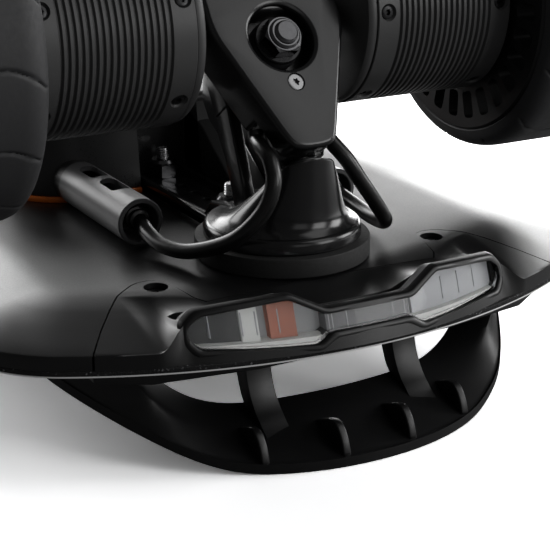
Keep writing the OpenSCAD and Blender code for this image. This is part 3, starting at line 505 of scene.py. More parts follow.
def soft_corners(points, cut, steps=4):
    """A closed outline whose corners are drawn round over a cut length at most."""
    done = []
    for i, here in enumerate(points):
        here = np.array(here, float)
        before = np.array(points[i - 1], float) - here
        after = np.array(points[(i + 1) % len(points)], float) - here
        start = here + before * min(cut, 0.45 * np.linalg.norm(before)) / np.linalg.norm(before)
        stop = here + after * min(cut, 0.45 * np.linalg.norm(after)) / np.linalg.norm(after)
        for t in np.linspace(0, 1, steps + 1):
            done.append(tuple((1 - t) ** 2 * start + 2 * t * (1 - t) * here + t * t * stop))
    return done


def bar_y(x, height, depth=0.0):
    """Y of the bar's leaning front, or of a layer some depth behind it."""
    reach = bar_radius - depth - bar_lean * height
    return bar_front + bar_radius - np.sqrt(reach**2 - np.asarray(x) ** 2)


def bow_heights(inset, x):
    """Lowest and highest height of the bow tie at places across."""
    middle = 11.8
    outline = np.array(soft_corners(bow_tie(inset), 1.8))
    low = outline[outline[:, 1] < middle]
    high = outline[outline[:, 1] >= middle]
    low = low[np.argsort(low[:, 0])]
    high = high[np.argsort(high[:, 0])]
    return np.interp(x, low[:, 0], low[:, 1]), np.interp(x, high[:, 0], high[:, 1])


def slab(name, front, back):
    """A closed sheet between two grids of points with the same rows and columns."""
    rows, columns = front.shape[:2]
    size = rows * columns
    faces = []
    for r in range(rows - 1):
        for c in range(columns - 1):
            a = r * columns + c
            quad = (a, a + 1, a + columns + 1, a + columns)
            faces.append(quad)
            faces.append(tuple(size + v for v in reversed(quad)))
    border = list(range(columns)) + [r * columns + columns - 1 for r in range(1, rows)]
    border += [(rows - 1) * columns + c for c in range(columns - 2, -1, -1)]
    border += [r * columns for r in range(rows - 2, 0, -1)]
    for a, b in zip(border, border[1:] + border[:1]):
        faces.append((b, a, size + a, size + b))
    return outward(mesh_piece(name, np.concatenate([front.reshape(-1, 3), back.reshape(-1, 3)]), faces))


def bow_sheet(name, inset, front, back, span=(-70, 70), heights=(0, 30)):
    """Part of the bow tie between two depths behind the bar's front, cut to a span and to heights."""
    reach = 69 - inset
    ends = [reach * (1 - 0.0004 * k * k) for k in range(12)]
    across = np.r_[np.linspace(-reach, reach, 121), ends, [-x for x in ends]]
    across = np.unique(np.clip(across, max(span[0], -reach), min(span[1], reach)))
    low, high = bow_heights(inset, across)
    share = np.linspace(0, 1, 9)[:, None]
    rise = np.clip(low + (high - low) * share, *heights)
    x = np.broadcast_to(across, rise.shape)
    grids = [np.stack([x, bar_y(x, rise, depth), grip_face + rise], axis=-1) for depth in (front, back)]
    return slab(name, *grids)


def ease(x, low, high):
    """Smooth step from 0 to 1."""
    t = np.clip((x - low) / (high - low), 0, 1)
    return t * t * (3 - 2 * t)


def housing_ring(x):
    """Section of the housing's shell at one place across: over the top, down the front, back below."""
    side = abs(x)
    back = float(seat_back(x))
    ridge = back - 0.2
    if ridge_start[0] < side < ridge_stop[0]:
        ridge = float(np.interp(side, (ridge_start[0], ridge_stop[0]), (ridge_start[1], ridge_stop[1])))
    fade = float(ease(side, 66, 79))
    bow_top = float(bow_heights(0, min(side, 68.0))[1]) - 0.3
    top = bow_top * (1 - fade) + rim_height * fade
    edge = end_centre_y - math.sqrt(end_radius**2 - x * x)
    front = float(bar_y(x, top)) * (1 - fade) + edge * fade
    ys = np.r_[np.linspace(back, ridge, 9), np.linspace(ridge, front, 41)[1:]]
    dome = core_face - grip_face + deck_height(x, ys)
    ridge_height = core_face - grip_face + float(deck_height(x, ridge))
    t = np.clip((ridge - ys) / (ridge - front), 0, 1)
    valley = ridge_height + (top - ridge_height) * t - hollow_depth * 4 * t * (1 - t)
    heights = np.where(ys >= ridge, dome, valley * (1 - fade) + dome * fade)
    heights[-1] = top
    ring = [(x, y, grip_face + h) for y, h in zip(ys, heights)]
    low = core_face - grip_face
    for h in np.linspace(top, low, 13)[1:]:
        y = float(bar_y(x, h)) * (1 - fade) + edge * fade
        ring.append((x, y, grip_face + h))
    ring.append((x, back, grip_face + low))
    return ring


def cylinder(name, radius, low, high, place=(0, 0), sides=48):
    """An upright round bar."""
    return prism(name, arc(place, radius, 0, 2 * math.pi * (1 - 1 / sides), sides - 1), low, high)


def make_housing():
    """The shell with its ears, its lens cavity and the frame round the window."""
    seams = [s * p[0] for p in seat_side for s in (-1, 1) if p[0] < housing_reach]
    across = np.unique(np.r_[np.linspace(-housing_reach, housing_reach, 267), seams])
    shell = ring_piece("light_housing", [housing_ring(float(x)) for x in across])
    tools = [bow_sheet("cavity", frame_width - 0.3, -8, cavity_depth)]
    for s in (-1, 1):
        tools.append(cylinder("ear_bore", ear_bore, under_face - ear_sink, under_face + 9,
                              (s * ear_x, ear_y)))
    smooth(carve(shell, tools), 24)
    section = ((0, 3), (0, 0.3), (0.3, -0.4), (1.1, -0.7), (1.9, -0.4), (2.2, 0.3), (2.2, 5))
    outlines = [soft_corners(bow_tie(inset), 1.8) for inset, depth in section]
    rings = []
    for i in list(range(len(outlines[0]))) + [0]:
        ring = []
        for outline, (inset, depth) in zip(outlines, section):
            x, h = outline[i]
            ring.append((x, float(bar_y(x, h, depth)), grip_face + h))
        rings.append(ring)
    window_frame = smooth(ring_piece("window_frame", rings, capped=False), 50)
    return merge("light_housing", [shell, window_frame])


housing_finish = grained("housing_satin", (0.003, 0.003, 0.0033), (0.005, 0.005, 0.0053), (0.30, 0.42),
                         1700, 18, 0.2)
for end in ("tail", "nose"):
    dress(at_end(make_housing(), end), housing_finish, "board", "deck_shell", end + "_light_housing")

# Lamps: a pale tray behind each lens with a dark screwed board and a white and an amber block on the
# left, a pale diffuser on the right, and a segmented light guide through the narrow middle.
lamp_front = 6.0
lamp_back = 8.0


def plain(name, color, rough, specular=0.5):
    """A smooth plastic of one colour with a faint moulding grain."""
    lighter = tuple(min(1.0, 1.12 * c) for c in color)
    return grained(name, color, lighter, (rough, rough + 0.12), 1200, 60, 0.12, 0.03, 0.0, specular)


tray_finish = plain("lamp_tray", (0.18, 0.18, 0.185), 0.3)
board_finish = plain("lamp_board", (0.006, 0.006, 0.0065), 0.4)
white_finish = plain("lamp_white", (0.42, 0.42, 0.41), 0.4)
amber_finish = plain("lamp_amber", (0.22, 0.065, 0.035), 0.4)
guide_finish = plain("lamp_guide", (0.07, 0.07, 0.073), 0.25)
diffuser_finish = plain("lamp_diffuser", (0.24, 0.24, 0.25), 0.4)
seam_finish = plain("lamp_seam", (0.20, 0.20, 0.21), 0.3)
lamp_parts = [
    ("lamp_tray", tray_finish, [((-70, 70), (0, 30), lamp_back, lamp_back + 1.5)]),
    ("lamp_board", board_finish,
     [((-67, -47.4), (0, 30), lamp_front, lamp_back), ((64.2, 67), (0, 30), lamp_front - 2, lamp_back)]),
    ("lamp_white", white_finish, [((-47.4, -41.2), (0, 30), lamp_front - 1, lamp_back),
                                  ((-67, -17), (0, 7.0), lamp_front - 3, lamp_back),
                                  ((17, 64), (0, 7.0), lamp_front - 3, lamp_back)]),
    ("lamp_amber", amber_finish, [((-37.4, -27.8), (7.2, 30), lamp_front - 1, lamp_back)]),
    ("lamp_guide", guide_finish, [((-17.6, 17.6), (0, 30), lamp_front - 3, lamp_back)]),
    ("lamp_diffuser", diffuser_finish, [((20, 64), (7.2, 30), lamp_front - 1, lamp_back)]),
    ("lamp_seam", seam_finish,
     [((x - 0.2, x + 0.2), (0, 30), lamp_front - 3.1, lamp_back) for x in (-16.4, -15, -9.2, 10.4, 15.6)]
     + [((x - 0.2, x + 0.2), (9, 17), lamp_front - 1.2, lamp_back)
        for x in (-58, -47, -42, -34, 36, 45, 54)]),
]
for name, finish, sheets in lamp_parts:
    whole = []
    for span, heights, front, back in sheets:
        whole.append(bow_sheet(name, frame_width + 0.1, front, back, span, heights))
    stands_for = ("light_boards",) if name == "lamp_tray" else ()
    dress(smooth(both_ends(merge(name, whole))), finish, "board", "light_board", *stands_for)

# Lenses: clear bow-tie covers that follow the bar's curve, a little behind the frame.
lens_set = 1.0
lens_thick = 2.2


def make_clear():
    """Clear cast plastic with a faint waviness."""
    material = bpy.data.materials.new("clear_cover")
    material.use_nodes = True
    nodes, links = material.node_tree.nodes, material.node_tree.links
    shader = nodes["Principled BSDF"]
    shader.inputs["Base Color"].default_value = (0.96, 0.97, 0.97, 1)
    shader.inputs["Transmission Weight"].default_value = 1.0
    shader.inputs["IOR"].default_value = 1.2
    shader.inputs["Roughness"].default_value = 0.03
    place = nodes.new("ShaderNodeTexCoord")
    wave = nodes.new("ShaderNodeTexNoise")
    wave.inputs["Scale"].default_value = 120.0
    links.new(place.outputs["Object"], wave.inputs["Vector"])
    bump = nodes.new("ShaderNodeBump")
    bump.inputs["Strength"].default_value = 0.08
    bump.inputs["Distance"].default_value = 0.1 * mm
    links.new(wave.outputs["Fac"], bump.inputs["Height"])
    links.new(bump.outputs["Normal"], shader.inputs["Normal"])
    return material


clear_finish = make_clear()
for end in ("tail", "nose"):
    cover = bow_sheet("lens_cover", frame_width + 0.05, lens_set, lens_set + lens_thick)
    dress(smooth(at_end(cover, end), 40), clear_finish, "board", "clear_lens", end + "_light_lens")

# Ear screws: black socket-head screws at the bottom of the ears' bores.
ear_screw_r = 3.6


def lathe(name, profile, steps=64):
    """A solid turned about the upright axis from radius and height pairs, closed at the axis or on itself."""
    rings = []
    for i in range(steps):
        a = 2 * math.pi * i / steps
        rings.append([(r * math.cos(a), r * math.sin(a), z) for r, z in profile])
    rings.append(rings[0])
    count = len(profile)
    faces = []
    for j in range(steps):
        for i in range(count):
            k = (i + 1) % count
            faces.append((j * count + i, j * count + k, (j + 1) * count + k, (j + 1) * count + i))
    return outward(mesh_piece(name, [p for ring in rings for p in ring], faces))


def hexagon(across_flats):
    """Outline of a hexagon."""
    return arc((0, 0), across_flats / math.sqrt(3), 0, 2 * math.pi * 5 / 6, 5)


def socket_screw(name, head_r, head_h, socket, depth=1.4, edge=0.4):
    """A round-edged screw head with a hexagon socket, its seat at height 0."""
    head = lathe(name,
                 [(0, 0), (head_r, 0), (head_r, head_h - edge), (head_r - 0.3 * edge, head_h - 0.3 * edge),
                        (head_r - edge, head_h), (0, head_h)], 40)
    return carve(head, [prism("socket", hexagon(socket), head_h - depth, head_h + 1)])


black_steel = grained("black_steel", (0.014, 0.014, 0.015), (0.030, 0.030, 0.031), (0.22, 0.38), 900, 200,
                      0.15, 0.02, 0.6)
ear_screws = []
for s in (-1, 1):
    screw = socket_screw("ear_screw", ear_screw_r, 2.4, 2.6)
    screw.data.transform(Matrix.Translation((s * ear_x, ear_y, under_face - ear_sink)))
    ear_screws.append(screw)
dress(smooth(both_ends(merge("ear_screws", ear_screws))), black_steel, "board", "dark_screw", "end_screws")

# Bumpers: a swept skid lip with a rim, flanks that rise to the deck, two curved struts and four small
# fins, moulded in one piece.
board_end = -77.5
floor_face = -142.5
lip_thick = 3.6
rim_line = [(0, 0, 0), (26, 3, 0), (48, 12, 0), (60, 19.5, 2.5), (70, 26, 7), (80, 37.5, 12), (91, 54.5, 18),
            (100, 71, 24), (104, 82, 28)]
crest_line = [(0, 16, 6), (24, 19, 6), (44, 26, 7), (57, 32, 10), (67, 36.7, 16), (74.5, 40.4, 22),
              (79, 43, 29), (84, 46, 36), (90, 57, 37)]
inner_line = [(0, 37, 15), (22, 38.5, 15), (36, 41, 15), (45, 44, 15.3), (54, 46.8, 18), (60, 49.3, 21.2),
              (66, 52, 26), (74, 57, 33), (80, 61, 37)]
rim_rise = 4.0
rim_width = 3.0


def lip_ring(i, side):
    """Section of the skid lip at one station."""
    rim, crest, inner = (np.array(line[i], float) for line in (rim_line, crest_line, inner_line))
    ring = [rim + (0, rim_width, 0), crest + (0, 0, 1 - lip_thick), inner + (0, 0, -lip_thick), inner,
            crest + (0, 0, 1.6), rim + (0, 1.2, rim_rise - 0.6), rim + (0, 0, rim_rise), rim]
    return [(side * x, board_end + y, floor_face + z) for x, y, z in ring]


def make_lip():
    """The lip as a smoothed cage with creased rim, inner edge and flank ridge."""
    last = len(rim_line) - 1
    rings = [lip_ring(i, -1) for i in range(last, 0, -1)] + [lip_ring(i, 1) for i in range(last + 1)]
    lip = ring_piece("bumper_lip", rings)
    count = len(rings[0])
    shape = bmesh.new()
    shape.from_mesh(lip.data)
    shape.verts.ensure_lookup_table()
    crease = shape.edges.layers.float.new("crease_edge")
    sharpness = {0: 0.8, 2: 0.6, 3: 0.6, 5: 0.7, 6: 0.9, 7: 0.9}
    for edge in shape.edges:
        a, b = (v.index for v in edge.verts)
        if a % count == b % count:
            station = abs(a // count - last)
            ridge = 0.75 if a % count == 4 and station > 3 else 0.0
            edge[crease] = sharpness.get(a % count, ridge)
        elif a // count == b // count and a // count in (0, 2 * last):
            edge[crease] = 0.9
    shape.to_mesh(lip.data)
    shape.free()
    step = lip.modifiers.new("smooth", "SUBSURF")
    step.levels = 3
    step.render_levels = 3
    return smooth(apply_modifiers(lip), 40)


def side_plate(name, outline, width, rounding):
    """A plate across x over an outline of y and z, with rounded edges."""
    plate = ring_piece(name, [[(x, y, z) for y, z in outline] for x in (-width / 2, width / 2)])
    return smooth(round_edges(plate, rounding, 3, 40))


def make_bumper():
    """Lip, struts, fins and the flange under the deck."""
    pieces = [make_lip()]
    strut = [(50, 41), (39.8, 41), (39.2, 34), (38.2, 28), (36.6, 23), (34.3, 18.5), (31.5, 14.8), (28, 12),
             (25, 9.6), (21, 7.2), (17, 4.4), (17, 3.4), (30, 8.6), (38, 13.2), (42.4, 17), (45.6, 24),
             (48.2, 32)]
    fin = [(2, 2), (4, 9), (8, 14), (13, 14.5), (24, 9.6), (24, 7.2), (14, 4.6)]
    for x in (-32, 32):
        plate = side_plate("strut", soft_corners(strut, 5, 5), 10.5, 0.7)
        plate.data.transform(Matrix.Translation((x, board_end, floor_face)))
        pieces.append(plate)
    for x in (-43.5, -14.3, 14.3, 43.5):
        plate = side_plate("fin", soft_corners(fin, 3, 4), 3.2, 0.6)
        plate.data.transform(Matrix.Translation((x, board_end + 0.0047 * x * x, floor_face)))
        pieces.append(plate)
    flange = [(-97, 55.8), (-97, 38.8), (-80, 27.8), (-40, 21.8), (40, 21.8), (80, 27.8), (97, 38.8),
              (97, 55.8), (60, 61.8), (-60, 61.8)]
    plate = prism("flange", [(x, board_end + y) for x, y in flange], grip_face - 5, grip_face)
    pieces.append(smooth(round_edges(plate, 0.6)))
    return merge("bumper", pieces)


bumper_finish = grained("bumper_satin", (0.003, 0.003, 0.0033), (0.0045, 0.0045, 0.0048), (0.34, 0.46),
                        1700, 20, 0.25)
for end in ("tail", "nose"):
    dress(at_end(make_bumper(), end), bumper_finish, "board", "bumper_plastic", end + "_bumper")

# Riser pads: plain rubber discs between the trucks and the deck.
riser_r = 34.5
riser_top = -77.0
riser_edge = 0.8
riser = lathe("riser_pad", [(0, under_face), (riser_r - 0.3, under_face), (riser_r, under_face + 0.4),
                            (riser_r, riser_top - riser_edge),
                            (riser_r - 0.3 * riser_edge, riser_top - 0.3 * riser_edge),
                            (riser_r - riser_edge, riser_top), (0, riser_top)], 128)
riser_finish = grained("riser_matte", (0.006, 0.006, 0.006), (0.009, 0.009, 0.0088), (0.60, 0.78), 700, 40,
                       0.35, 0.08)
dress(smooth(both_ends(riser)), riser_finish, "board", "riser_rubber", "riser_pads")

# Baseplates: a cast pivot tower on a round flange, a kingpin pad on two side legs, and a bolted
# channel with raised rails that runs back under the enclosure's nose.
face_tilt = math.radians(55)
face_pose = Matrix.Rotation(face_tilt, 4, "X")
steer_depth = 15.0
flange_r = 31.0
flange_top = riser_top + 6
tower_base_r = 25.0
tower_top_r = 12.4
tower_top = -48.5
tower_foot_flare = 4.2
tower_tilt = math.radians(35)
cup_r = 6.8
cup_floor = -55.0
channel_half_w = 14.0
channel_start = 35.5
channel_stop = 116.0
channel_top = under_face + 3.6
rail_top = channel_top + 2.5
rail_w = 3.5
pad_depth = 32.0
pad_thick = 12.0
base_bolt_y = (43.0, 109.0)


def face_point(x, y, z):
    """A point of the kingpin frame, seen from the hole along the board's axes."""
    return face_pose @ Vector((x, y, z))


def make_tower():
    """The leaning tower as rings that turn from the flange to the cup's mouth."""
    foot = Vector((0, 0, flange_top))
    top = face_point(0, tower_top, -steer_depth)
    lean = face_pose @ Vector((0, 1, 0))
    steps = [(0.97 * k / 29, 0.0, 0.0) for k in range(30)]
    steps += [(1.0, 0.25, 0.0), (1.0, 0.9, 0.25), (1.0, 1.6, 0.3)]
    rings = []
    for share, trim, lift in steps:
        centre = foot.lerp(top, share) + lift * lean
        flare = tower_foot_flare * math.exp(-share / 0.07)
        radius = tower_base_r + (tower_top_r - tower_base_r) * share + flare - trim
        tilt = tower_tilt * share
        across = Vector((0, math.cos(tilt), -math.sin(tilt)))
        ring = []
        for i in range(96):
            a = 2 * math.pi * i / 96
            ring.append(centre + Vector((radius * math.cos(a), 0, 0)) + across * (radius * math.sin(a)))
        rings.append(ring)
    tower = ring_piece("tower", rings)
    bore = cylinder("cup_bore", cup_r, 0, 40)
    bore_place = Matrix.Translation((0, cup_floor, -steer_depth))
    bore.data.transform(face_pose @ bore_place @ Matrix.Rotation(-math.pi / 2, 4, "X"))
    return smooth(carve(tower, [bore]), 30)


def box(name, low, high, rounding=0.6):
    """A block between two corners with rounded edges."""
    outline = [(low[0], low[1]), (high[0], low[1]), (high[0], high[1]), (low[0], high[1])]
    block = prism(name, outline, low[2], high[2])
    return smooth(round_edges(block, rounding)) if rounding else block


def make_baseplate():
    """All cast parts of one baseplate."""
    edge = 1.6
    flange = lathe("flange", [(0, riser_top), (flange_r - 0.6, riser_top), (flange_r, riser_top + 0.6),
                              (flange_r, flange_top - 2.6), (flange_r - 0.25, flange_top - edge),
                              (flange_r - 0.8, flange_top - 0.7), (flange_r - edge, flange_top - 0.2),
                              (flange_r - 2.4, flange_top), (0, flange_top)], 128)
    pieces = [make_tower(), smooth(flange)]
    pad = box("pad", (-channel_half_w, -13, -pad_depth - pad_thick), (channel_half_w, 10, -pad_depth), 0)
    pin_bore = cylinder("pin_bore", 4.8, -pad_depth - pad_thick - 5, -pad_depth + 5)
    pad = smooth(round_edges(carve(pad, [pin_bore]), 0.8))
    pad.data.transform(face_pose)
    pieces.append(pad)
    leg = [face_point(0, -12, -33), face_point(0, 9, -33), face_point(0, 9, -43), (0, 42, -31),
           (0, 36, -38.5), (0, 29, -42.5), (0, 22.5, -51), (0, 17, -63), (0, 15, -69), (0, 36, -72),
           (0, 46, under_face + 1.8), (0, 36.5, under_face + 1.8),
           (0, 36.5, riser_top + 1), (0, 0, riser_top + 1)]
    for s in (-1, 1):
        plate = side_plate("leg", [(p[1], p[2]) for p in leg], 5, 0.9)
        plate.data.transform(Matrix.Translation((s * (channel_half_w - 3.1), 0, 0)))
        pieces.append(plate)
    floor = box("channel", (-channel_half_w, channel_start, under_face),
                (channel_half_w, channel_stop, channel_top), 0)
    holes = [cylinder("hole", 2.0, under_face - 1, channel_top + 1, (0, y), 24) for y in (66, 78, 90)]
    pieces.append(smooth(round_edges(carve(floor, holes), 0.4)))
    for s in (-1, 1):
        near, far = s * channel_half_w, s * (channel_half_w - rail_w)
        low, high = (min(near, far), channel_start, under_face), (max(near, far), channel_stop, rail_top)
        pieces.append(box("rail", low, high, 1.1))
    return merge("baseplate", pieces)


truck_finish = grained("truck_paint", (0.006, 0.006, 0.0064), (0.009, 0.009, 0.0094), (0.18, 0.25), 1300,
                       30, 0.08, 0.02)
for end in ("tail", "nose"):
    dress(at_end(make_baseplate(), end), truck_finish, "board", "truck_paint", end + "_baseplate")

# Base bolts: threaded studs that stand out of plated nuts with a ring on top.
bolt_r = 3.0
bolt_top = channel_top + 13
nut_flats = 11.6
nut_face = channel_top + 6.2
nut_ring_r = 6.3
nut_ring_h = 1.8


def threaded_rod(name, radius, pitch, low, high):
    """A rod with a helical thread and a chamfered upper end."""
    depth = 0.55 * pitch
    sides = 40
    rows = int((high - low) / pitch * 8)
    rings = []
    for z in np.linspace(low, high, rows + 1):
        chamfer = max(0.0, radius - depth - 0.2 + (high - z)) if high - z < 1.2 else radius
        ring = []
        for i in range(sides):
            a = 2 * math.pi * i / sides
            turn = (z / pitch - i / sides) % 1.0
            groove = depth * (1 - abs(2 * turn - 1)) ** 1.4
            r = min(radius - groove, chamfer)
            ring.append((r * math.cos(a), r * math.sin(a), z))
        rings.append(ring)
    return ring_piece(name, rings)


def hex_nut(name, flats, low, high, chamfer=1.0):
    """A hexagon nut with chamfered corners at both ends."""
    corner = flats / math.sqrt(3)
    nut = prism(name, hexagon(flats), low, high)
    turned = lathe("chamfer", [(0, low), (flats / 2 * 0.97, low), (corner + 0.1, low + chamfer * 0.6),
                               (corner + 0.1, high - chamfer * 0.6), (flats / 2 * 0.97, high), (0, high)], 64)
    return carve(nut, [turned], "INTERSECT")


steel_finish = grained("bright_steel", (0.55, 0.55, 0.56), (0.70, 0.70, 0.70), (0.18, 0.34), 1100, 260, 0.2,
                       0.02, 1.0)
plated_finish = grained("dark_plated", (0.10, 0.10, 0.105), (0.17, 0.17, 0.175), (0.14, 0.26), 1100, 260,
                        0.15, 0.02, 1.0)
studs = []
nuts = []
for y in base_bolt_y:
    stud = threaded_rod("stud", bolt_r, 1.0, core_face + 1, bolt_top)
    nut = hex_nut("nut", nut_flats, channel_top, nut_face)
    ring = lathe("nut_ring", [(0, nut_face - 0.2), (nut_ring_r, nut_face - 0.2), (nut_ring_r, nut_face + 0.6),
                              (nut_ring_r - 1.2, nut_face + nut_ring_h), (0, nut_face + nut_ring_h)], 48)
    for part, group in ((stud, studs), (nut, nuts), (ring, nuts)):
        part.data.transform(Matrix.Translation((0, y, 0)))
        group.append(part)
dress(smooth(both_ends(merge("studs", studs)), 25), steel_finish, "board", "bright_steel", "base_bolts")
dress(smooth(both_ends(merge("flange_nuts", nuts)), 25), plated_finish, "board", "bright_steel")

# Kingpins: threaded bolts on the leaning axis with a lock nut and a washer that press the bushings.
pin_r = 4.75
pin_tip = 5.0
washer_face = -5.0
washer_thick = 1.6
pin = merge("kingpin", [threaded_rod("thread", pin_r, 1.4, -14, pin_tip),
                        smooth(cylinder("shank", pin_r, -pad_depth - pad_thick, -13.5)),
                        hex_nut("head", 14.0, -pad_depth - pad_thick - 6, -pad_depth - pad_thick, 1.4)])
pin_finish = grained("pin_steel", (0.10, 0.10, 0.105), (0.17, 0.17, 0.175), (0.34, 0.48), 1100, 260, 0.2,
                     0.02, 1.0)
dress(smooth(both_ends(pin, face_pose), 25), pin_finish, "board", "bright_steel", "kingpins")
lock_nut = hex_nut("lock_nut", 14.0, washer_face + washer_thick, washer_face + washer_thick + 5.6, 1.4)
collar = lathe("nut_collar", [(0, 1.0), (6.2, 1.0), (6.2, 2.6), (5.4, 3.4), (0, 3.4)], 64)
dress(smooth(both_ends(merge("lock_nuts", [lock_nut, collar]), face_pose), 25), plated_finish, "board",
      "bright_steel", "kingpin_nuts")
washer = lathe("washer", [(5, washer_face), (9.2, washer_face), (9.5, washer_face + 0.3),
                          (9.5, washer_face + washer_thick - 0.4), (9.1, washer_face + washer_thick),
                          (5, washer_face + washer_thick)], 64)
dress(smooth(both_ends(washer, face_pose)), black_steel, "board", "bright_steel", "bushing_washers")

# Bushings: urethane rings on the kingpin that bulge a little under load.
bushing_finish = grained("bushing_rubber", (0.030, 0.030, 0.033), (0.045, 0.045, 0.048), (0.38, 0.50), 800,
                         60, 0.2)


def bushing(name, radius, low, high, bulge):
    """A ring on the kingpin between two heights of the kingpin frame."""
    heights = np.linspace(low, high, 13)
    swell = [radius - 0.6 + bulge * math.sin(math.pi * (z - low) / (high - low)) for z in heights]
    inner = pin_r + 0.15
    return smooth(lathe(name, [(inner, low)] + list(zip(swell, heights)) + [(inner, high)], 72), 50)


for end in ("tail", "nose"):
    for part, radius, low, high, fixed, moving in (("lower", 10.0, -32.0, -18.0, -32.0, -18.0),
                                                   ("upper", 10.0, -12.0, -5.0, -5.0, -12.0)):
        ring = at_end(bushing(part + "_ring", radius, low, high, 0.5), end, face_pose)
        ring.data.transform(Matrix.Scale(mm, 4))
        ring.data.materials.append(bushing_finish)
        flip = -1 if end == "nose" else 1
        ends = []
        for z in (fixed, moving):
            spot = (hole + face_point(0, 0, z)) * mm
            ends.append((flip * spot.x, flip * spot.y, spot.z))
        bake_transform(ring)
        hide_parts(end + "_" + part + "_bushing")

# Pivot cups: plastic sockets in the towers' tops for the hangers' pivot noses.
cup_top = -45.8
cup = lathe("pivot_cup", [(4.3, 0), (6.2, 0), (cup_r - 0.1, 0.5), (cup_r - 0.1, 9), (0, 9), (0, 8.5),
                          (3.0, 7.5), (4.3, 4.6)], 64)
cup_pose = face_pose @ Matrix.Translation((0, cup_top, -steer_depth)) @ Matrix.Rotation(math.pi / 2, 4, "X")
cup_finish = grained("cup_plastic", (0.006, 0.006, 0.0065), (0.010, 0.010, 0.0105), (0.42, 0.55), 900, 60,
                     0.2)
dress(smooth(both_ends(cup, cup_pose)), cup_finish, "board", "cup_plastic", "pivot_cups")

# Hangers: a cast shield whose deep rounded flanks carry the cables, with a bushing seat behind its hole,
# a beam for the axle, and a neck with the pivot nose below the tip.
shield = [(28.5, 32), (28.5, 4), (10.3, -42), (6.3, -45)]
shield_depth = 21.0
plate_depth = 12.0
flank_in = 16.5
flank_turn = -6.0
flank_foot = -29.0
flank_foot_in = 7.0
face_hole_r = 13.3
screw_drop = 18.6
neck_r = 10.0
pivot_r = 4.2
pivot_tip = -50.0
beam_r = 10.0
beam_half_l = 35.0
axle_spot = Vector((0, 31.5, 2.9))


def make_shield():
    """The shield with its hollowed back and its two bores."""
    outline = [(x, y) for x, y in shield] + [(-x, y) for x, y in reversed(shield)]
    plate = prism("shield", soft_corners(outline, 6, 6), -shield_depth, 0)
    side = [(flank_in, 40), (flank_in, flank_turn), (flank_foot_in, flank_foot), (40, flank_foot), (40, -60)]
    hollow = prism("back", side + [(-x, y) for x, y in reversed(side)], -shield_depth - 5, -plate_depth)
    carve(plate, [hollow])
    round_edges(plate, 2.0, 4, 50, False)
    mouth = lathe("mouth", [(0, -14), (face_hole_r, -14), (face_hole_r, -1.4), (face_hole_r + 0.3, -0.7),
                            (face_hole_r + 1.0, -0.2), (face_hole_r + 2.2, 0.05), (face_hole_r + 2.2, 3),
                            (0, 3)], 96)
    sink = cylinder("sink", 3.6, -2.6, 5, (0, -screw_drop), 40)
    return smooth(carve(plate, [mouth, sink]), 30)


def make_hanger(half_l):
    """Shield, seat, web, neck and pivot, and the beam along the axle."""
    seat = lathe("seat", [(6.6, -18), (16.4, -18), (17, -17.4), (17, -1.5), (face_hole_r, -1.5),
                          (face_hole_r, -12), (6.6, -12)], 96)
    web = box("web", (-26, 11.6, -27), (26, 27, -2), 2.0)
    neck = lathe("neck", [(0, 0), (neck_r - 1, 0), (neck_r, 1), (neck_r, 13.6), (neck_r - 0.4, 14.6),
                          (neck_r - 1.4, 15), (pivot_r, 15), (pivot_r, -30 - pivot_tip),
                          (pivot_r * 0.7, 0.7 * pivot_r - 30 - pivot_tip),
                          (0, pivot_r - 30 - pivot_tip)], 64)
    neck.data.transform(Matrix.Translation((0, -30, -steer_depth)) @ Matrix.Rotation(math.pi / 2, 4, "X"))
    pieces = [make_shield(), smooth(seat), web, smooth(neck)]
    for piece in pieces:
        piece.data.transform(face_pose)
    beam = cylinder("beam", beam_r, -half_l, half_l, (0, 0), 64)
    beam.data.transform(Matrix.Translation(axle_spot) @ Matrix.Rotation(math.pi / 2, 4, "Y"))
    return merge("hanger", pieces + [smooth(beam)])


dress(at_end(make_hanger(beam_half_l), "tail"), truck_finish, "tail_hanger", "truck_paint", "tail_hanger")
nose_parts = [make_hanger(102)]
for s in (-1, 1):
    tube = lathe("axle_tube", [(5.1, 22), (13.4, 22), (14, 22.6), (14, 96), (13, 97), (5.1, 97)], 64)
    tube.data.transform(Matrix.Translation(axle_spot) @ Matrix.Rotation(s * math.pi / 2, 4, "Y"))
    nose_parts.append(smooth(tube))
dress(at_end(merge("nose_hanger_cast", nose_parts), "nose"), truck_finish, "nose_hanger", "truck_paint",
      "nose_hanger")

# Hanger screw: a small plated screw with a six-lobed socket below the hole.
star = []
for i in range(48):
    a = 2 * math.pi * i / 48
    r = 1.35 + 0.25 * math.cos(6 * a)
    star.append((r * math.cos(a), r * math.sin(a)))
lobe_screw = lathe("lobe_screw", [(0, -2.4), (3.3, -2.4), (3.4, -2.2), (3.4, -0.7), (3.1, -0.3),
                                  (2.6, -0.2), (0, -0.2)], 48)
carve(lobe_screw, [prism("star", star, -1.5, 2)])
lobe_screw.data.transform(Matrix.Translation((0, -screw_drop, 0)))
screw_finish = grained("plated_screw", (0.22, 0.22, 0.225), (0.34, 0.34, 0.345), (0.16, 0.3), 1100, 260,
                       0.15, 0.02, 1.0)
dress(smooth(at_end(lobe_screw, "tail", face_pose)), screw_finish, "tail_hanger", "bright_steel",
      "hanger_screw")

